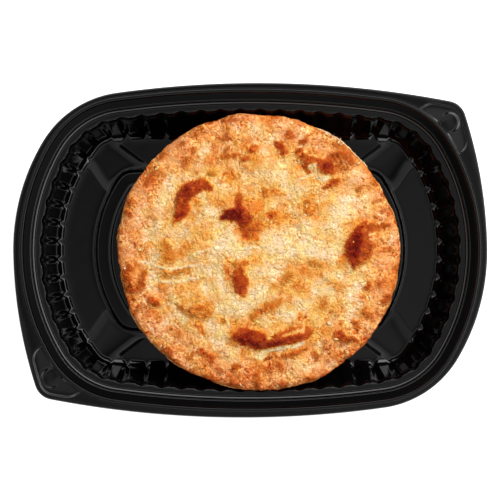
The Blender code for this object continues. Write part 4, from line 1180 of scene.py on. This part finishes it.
def node(tree, kind, **settings):
    """A new node, with settings for its properties or its inputs by name."""
    made = tree.nodes.new("ShaderNode" + kind)
    for key, value in settings.items():
        if hasattr(made, key):
            setattr(made, key, value)
        else:
            made.inputs[key].default_value = value
    return made


def feed(tree, socket, value):
    """Give an input a fixed value, or link another node's output to it."""
    if isinstance(value, bpy.types.NodeSocket):
        tree.links.new(value, socket)
    else:
        socket.default_value = value


def noise_in(tree, place, **settings):
    made = node(tree, "TexNoise", **settings)
    feed(tree, made.inputs["Vector"], place)
    return made.outputs["Fac"]


plastic, tree, shader = new_material("black_plastic")
print("the plastic starts with", len(tree.nodes), "nodes")

# %% The tray's finish
shader.inputs["Base Color"].default_value = (0.0016, 0.0016, 0.0019, 1.0)
shader.inputs["Roughness"].default_value = 0.08
shader.inputs["IOR"].default_value = 1.5
place = node(tree, "TexCoord").outputs["Object"]
bump = node(tree, "Bump", Strength=0.25, Distance=0.6 * MM)
feed(tree, bump.inputs["Height"], noise_in(tree, place, Scale=45.0, Detail=2.0, Roughness=0.5))
feed(tree, shader.inputs["Normal"], bump.outputs["Normal"])
tray.data.materials.append(plastic)
print("plastic:", len(tree.nodes), "nodes")

# %% [markdown]
# ## Tones of the crust
# The crust has two rows of colours, a yellow one for the middle and a pinker one for the rim, both
# read by the painted tone. Grain is added to the tone and not to the colour, so that a speck on
# cream is golden and one on brown is nearly burnt, as in an oven. Grain comes in patches, is
# stronger on the rim, and is calm where the crust is glossy brown.

# %% Helpers for sums of nodes
def maths(tree, operation, first, second, clamp=False):
    made = node(tree, "Math", operation=operation, use_clamp=clamp)
    feed(tree, made.inputs[0], first)
    feed(tree, made.inputs[1], second)
    return made.outputs[0]


def plus(tree, first, second):
    return maths(tree, "ADD", first, second)


def times(tree, first, second):
    return maths(tree, "MULTIPLY", first, second)


def smooth_step(tree, source, start, end, low, high):
    """low below start, high above end, and a soft step between."""
    made = node(tree, "MapRange", interpolation_type="SMOOTHSTEP")
    for socket, value in zip(list(made.inputs)[:5], (source, start, end, low, high)):
        feed(tree, socket, value)
    return made.outputs["Result"]


crust, tree, shader = new_material("baked_crust")
place = node(tree, "TexCoord").outputs["Object"]
toast, rim, blister = [node(tree, "Attribute", attribute_name=name).outputs["Fac"]
                       for name in ("toast", "rim", "blister")]
print("crust:", len(tree.nodes), "nodes so far")

# %% Rows of colours
# Tone, and the colour there.
MIDDLE_TONES = ((0.02, (254, 226, 176)), (0.14, (253, 217, 157)), (0.26, (250, 203, 133)),
                (0.38, (246, 183, 101)), (0.50, (239, 153, 62)), (0.62, (228, 119, 38)),
                (0.72, (206, 86, 29)), (0.82, (177, 56, 22)), (0.92, (140, 32, 15)),
                (1.00, (99, 17, 10)))
RIM_TONES = ((0.02, (254, 222, 175)), (0.14, (254, 208, 152)), (0.26, (252, 193, 128)),
             (0.38, (247, 172, 102)), (0.50, (238, 148, 77)), (0.62, (221, 117, 46)),
             (0.72, (202, 89, 27)), (0.82, (175, 62, 16)), (0.92, (142, 37, 10)),
             (1.00, (98, 20, 8)))


def linear(red, green, blue):
    """A colour given in 0 to 255 steps, as the linear values a shader takes."""
    return tuple(((v / 255 + 0.055) / 1.055) ** 2.4 if v > 10 else v / 255 / 12.92
                 for v in (red, green, blue)) + (1.0,)


def ramp(tree, source, stops):
    """Colours by a value from 0 to 1."""
    made = node(tree, "ValToRGB")
    elements = made.color_ramp.elements
    while len(elements) < len(stops):
        elements.new(0.5)
    for element, (place, colour) in zip(elements, stops):
        element.position = place
        element.color = colour
    feed(tree, made.inputs["Fac"], source)
    return made.outputs["Color"]


def mixed(tree, share, first, second, **settings):
    """Two colours mixed by a share."""
    made = node(tree, "Mix", data_type="RGBA", **settings)
    for k, value in ((0, share), (6, first), (7, second)):
        feed(tree, made.inputs[k], value)
    return made.outputs[2]


print("the palest crust, as a shader takes it:",
      [round(share, 3) for share in linear(*MIDDLE_TONES[0][1])[:3]])

# %% Grain and tone
# Strength of the grain in the middle of the crust, and how much more of it there is on the rim.
FINE_GRAIN, COARSE_GRAIN, DARKEST_GRAIN = (0.16, 0.32), (0.48, 0.40), (0.09, 0.12)
# How much of the grain is lost where the crust browned.
CALMED = 0.55


def by_rim(tree, middle, more):
    """A value in the middle of the crust that grows towards the rim."""
    return plus(tree, times(tree, rim, more), middle)


speckle = noise_in(tree, place, Scale=950.0, Detail=3.0, Roughness=0.6, Distortion=0.4)
mottled = noise_in(tree, place, Scale=360.0, Detail=3.0, Roughness=0.6, Distortion=0.8)
fine, coarse = [maths(tree, "SUBTRACT", value, 0.5) for value in (speckle, mottled)]
patches = noise_in(tree, place, Scale=130.0, Detail=1.0, Roughness=0.5)
unevenly = smooth_step(tree, patches, start=0.38, end=0.62, low=0.5, high=1.3)
calm = maths(tree, "SUBTRACT", 1.0, times(tree, blister, CALMED))
grainy = times(tree, unevenly, calm)
fine_grains = times(tree, fine, by_rim(tree, *FINE_GRAIN))
coarse_grains = times(tree, coarse, by_rim(tree, *COARSE_GRAIN))
# Dark specks belong to the rim, so the darker side of the grain is cut short in the middle.
darkest = by_rim(tree, *DARKEST_GRAIN)
grains = maths(tree, "MINIMUM", plus(tree, fine_grains, coarse_grains), darkest)
changed = plus(tree, toast, times(tree, grains, grainy))
# Thin ridges of flaked dough, paler than what lies between them.
ridges = noise_in(tree, place, noise_type="RIDGED_MULTIFRACTAL", Scale=260.0, Detail=3.0,
                  Roughness=0.6, Lacunarity=2.1, Offset=1.0, Gain=2.0, Distortion=1.2)
ridge_tone = smooth_step(tree, ridges, start=0.35, end=0.85, low=0.10, high=-0.08)
changed = plus(tree, changed, times(tree, ridge_tone, grainy))
middle_colour, rim_colour = [ramp(tree, changed, [(stop, linear(*colour)) for stop, colour in row])
                             for row in (MIDDLE_TONES, RIM_TONES)]
baked = mixed(tree, rim, middle_colour, rim_colour)
print("tone and grain:", len(tree.nodes), "nodes")

# %% [markdown]
# ## Steam, fat and flour
# Where the filling steamed the crust from below, it stayed pale and a little damp. Fat and flour
# are never spread evenly, so some spots are more yellow and some more pink. The finest grain is
# light and shade more than colour, because it is only the roughness of the dough. All three change
# the colour that the tone gave, so they come after it.

# %% Damp, tint and shade
DAMP_COLOUR = linear(242, 213, 148)
YELLOWER, PINKER = (1.0, 0.99, 0.80, 1.0), (1.0, 0.985, 1.20, 1.0)
FINE_SHADE, COARSE_SHADE = 1.3, 0.45

steam = noise_in(tree, place, Scale=85.0, Detail=2.0, Roughness=0.6)
steamed = smooth_step(tree, steam, start=0.50, end=0.68, low=0.0, high=0.34)
steamed = times(tree, steamed, maths(tree, "SUBTRACT", 1.0, rim))
still_pale = smooth_step(tree, changed, start=0.30, end=0.50, low=1.0, high=0.0)
damp = mixed(tree, times(tree, steamed, still_pale), baked, DAMP_COLOUR)
hue = noise_in(tree, place, Scale=170.0, Detail=2.0, Roughness=0.6)
hue_share = smooth_step(tree, hue, start=0.34, end=0.66, low=0.0, high=1.0)
tint = mixed(tree, hue_share, YELLOWER, PINKER)
tinted = mixed(tree, 1.0, damp, tint, blend_type="MULTIPLY")
shade = plus(tree, times(tree, fine, FINE_SHADE), times(tree, coarse, COARSE_SHADE))
shaded = node(tree, "VectorMath", operation="SCALE")
feed(tree, shaded.inputs[0], tinted)
feed(tree, shaded.inputs["Scale"], maths(tree, "SUBTRACT", 1.0, times(tree, shade, grainy)))
feed(tree, shader.inputs["Base Color"], shaded.outputs[0])
print("colour:", len(tree.nodes), "nodes")

# %% [markdown]
# ## Gloss and bump
# What has browned was fried in its own fat, so it shines more than the dry crust round it. The
# mesh holds every form down to half a millimetre, and bump adds the crumb below that.

# %% The crust's surface
DRY_ROUGHNESS, FRIED_LOSS = 0.62, 0.36
RIDGE_BUMP, FRIED_BUMP = 0.45, 0.7

shader.inputs["Specular IOR Level"].default_value = 0.18
roughness = maths(tree, "SUBTRACT", DRY_ROUGHNESS, times(tree, blister, FRIED_LOSS))
feed(tree, shader.inputs["Roughness"], roughness)
ridged = times(tree, ridges, plus(tree, times(tree, blister, FRIED_BUMP), RIDGE_BUMP))
bump = node(tree, "Bump", Strength=0.9, Distance=0.9 * MM)
feed(tree, bump.inputs["Height"], plus(tree, plus(tree, speckle, mottled), ridged))
feed(tree, shader.inputs["Normal"], bump.outputs["Normal"])
pie.data.materials.append(crust)
flakes.data.materials.append(crust)
print("crust:", len(tree.nodes), "nodes")

# %% [markdown]
# ## White table
# The pie stands on a plain white table that shows no edge and hardly a shadow. A large white square
# under soft light would still turn grey away from the lamp, so the table also glows a little.

# %% White table
FLOOR_HALF = 3.0
TABLE_CORNERS = [(x_side * FLOOR_HALF, y_side * FLOOR_HALF, 0.0) for x_side, y_side in CORNERS]
table = mesh_object("white_table", TABLE_CORNERS, [(0, 1, 2, 3)])
white, tree, shader = new_material("white_table")
shader.inputs["Base Color"].default_value = (0.8, 0.8, 0.8, 1.0)
shader.inputs["Roughness"].default_value = 0.9
shader.inputs["Emission Color"].default_value = (1.0, 1.0, 1.0, 1.0)
shader.inputs["Emission Strength"].default_value = 0.8
table.data.materials.append(white)
print("table:", 2.0 * FLOOR_HALF, "m wide")

# %% [markdown]
# ## Rings of light and a dim ceiling
# Black plastic shows what it mirrors, and little else, so the light is drawn as a sky round the
# tray. A broad ring is low enough that only steep edges mirror it, as thin bright lines. A narrow
# higher ring is for the gentle slopes of the feet and the steps. The ceiling inside them stays
# dim, so that flat plastic stays dark grey. Lamps would do the same work, but each would leave its
# own outline in every edge.

# %% Sky
# A row's colours end at 1, so each brightness is held as a share of this one.
BRIGHTEST = 5.0
# Sine of the height angle and brightness there, for the ring, the high ring and the ceiling.
RING = ((0.00, 0.01), (0.42, 0.01), (0.64, 0.08), (0.71, 1.70), (0.76, 2.80), (0.838, 2.80),
        (0.852, 0.95), (0.864, 0.02), (0.90, 0.00))
HIGH_RING = ((0.922, 0.00), (0.931, 0.85), (0.952, 0.80), (0.960, 0.52), (0.976, 0.50),
             (0.986, 0.00))
CEILING = ((0.88, 0.03), (0.976, 0.03), (0.988, 0.18), (1.00, 0.31))
# Each with how much brighter it gets towards +X and +Y, and the least share of light left.
LIGHTS = ((RING, 0.80, 0.65), (HIGH_RING, 0.50, 0.90), (CEILING, 3.20, -3.00))
LEAST_SHARE = 0.1
LOW_GLOW, LOW_GLOW_X = 0.035, -0.03

world = bpy.data.worlds.new("studio")
world.use_nodes = True
sky = world.node_tree
up = node(sky, "SeparateXYZ")
feed(sky, up.inputs[0], node(sky, "TexCoord").outputs["Generated"])


def part_of_sky(levels, towards_x, towards_y):
    """Light that depends on height, brighter or dimmer towards +X and +Y."""
    stops = [(height, (level / BRIGHTEST,) * 3 + (1.0,)) for height, level in levels]
    by_x, by_y = times(sky, up.outputs["X"], towards_x), times(sky, up.outputs["Y"], towards_y)
    share = maths(sky, "MAXIMUM", plus(sky, plus(sky, by_x, by_y), 1.0), LEAST_SHARE)
    return times(sky, ramp(sky, up.outputs["Z"], stops), share)


ring, high_ring, ceiling = [part_of_sky(*light) for light in LIGHTS]
above = plus(sky, plus(sky, ring, high_ring), ceiling)
glow = plus(sky, times(sky, up.outputs["X"], LOW_GLOW_X), LOW_GLOW)
glow = times(sky, glow, maths(sky, "SUBTRACT", 1.0, up.outputs["Z"], clamp=True))
background = sky.nodes["Background"]
background.inputs["Color"].default_value = (1.0, 1.0, 1.0, 1.0)
feed(sky, background.inputs["Strength"], plus(sky, times(sky, above, BRIGHTEST), glow))
bpy.context.scene.world = world
print("sky:", len(sky.nodes), "nodes")

# %% [markdown]
# ## One key light
# The sky alone would leave the crust flat, so one stronger light from the upper right gives it
# relief. It is kept out of mirrored light, because a lamp's square would show in the plastic.

# %% Key light
KEY_TURN, KEY_HEIGHT, KEY_AWAY, KEY_SIZE, KEY_POWER = 50.0, 40.0, 1.2, 0.60, 9.7
aim = Vector((*heading_of(KEY_TURN) * math.cos(math.radians(KEY_HEIGHT)),
              math.sin(math.radians(KEY_HEIGHT))))
key_data = bpy.data.lights.new("key", "AREA")
key_data.size = KEY_SIZE
key_data.energy = KEY_POWER
key = bpy.data.objects.new("key", key_data)
key.visible_glossy = False
key.location = aim * KEY_AWAY
key.rotation_euler = aim.to_track_quat("Z", "Y").to_euler()
bpy.context.scene.collection.objects.link(key)
bpy.context.scene.view_settings.view_transform = "Standard"
print("key light:", KEY_POWER, "W from", KEY_AWAY, "m")

# %% [markdown]
# ## Camera
# The photograph looks straight down from well above the tray, so its sides hardly show. The lens
# is worked out from how wide the view has to be at the brim, and not set by trial, so the camera
# can be moved up or down without changing the tray's size in the picture.

# %% Camera
CAMERA_HEIGHT = 1.245
CAMERA_ASIDE = 0.13 * MM
VIEW_WIDTH = 0.258
camera_data = bpy.data.cameras.new("camera")
camera_data.lens = camera_data.sensor_width * (CAMERA_HEIGHT - BRIM_TOP) / VIEW_WIDTH
camera_data.clip_start = 0.05
camera = bpy.data.objects.new("camera", camera_data)
camera.location = (-CAMERA_ASIDE, CAMERA_ASIDE, CAMERA_HEIGHT)
bpy.context.scene.collection.objects.link(camera)
bpy.context.scene.camera = camera
print("lens:", round(camera_data.lens, 1), "mm")
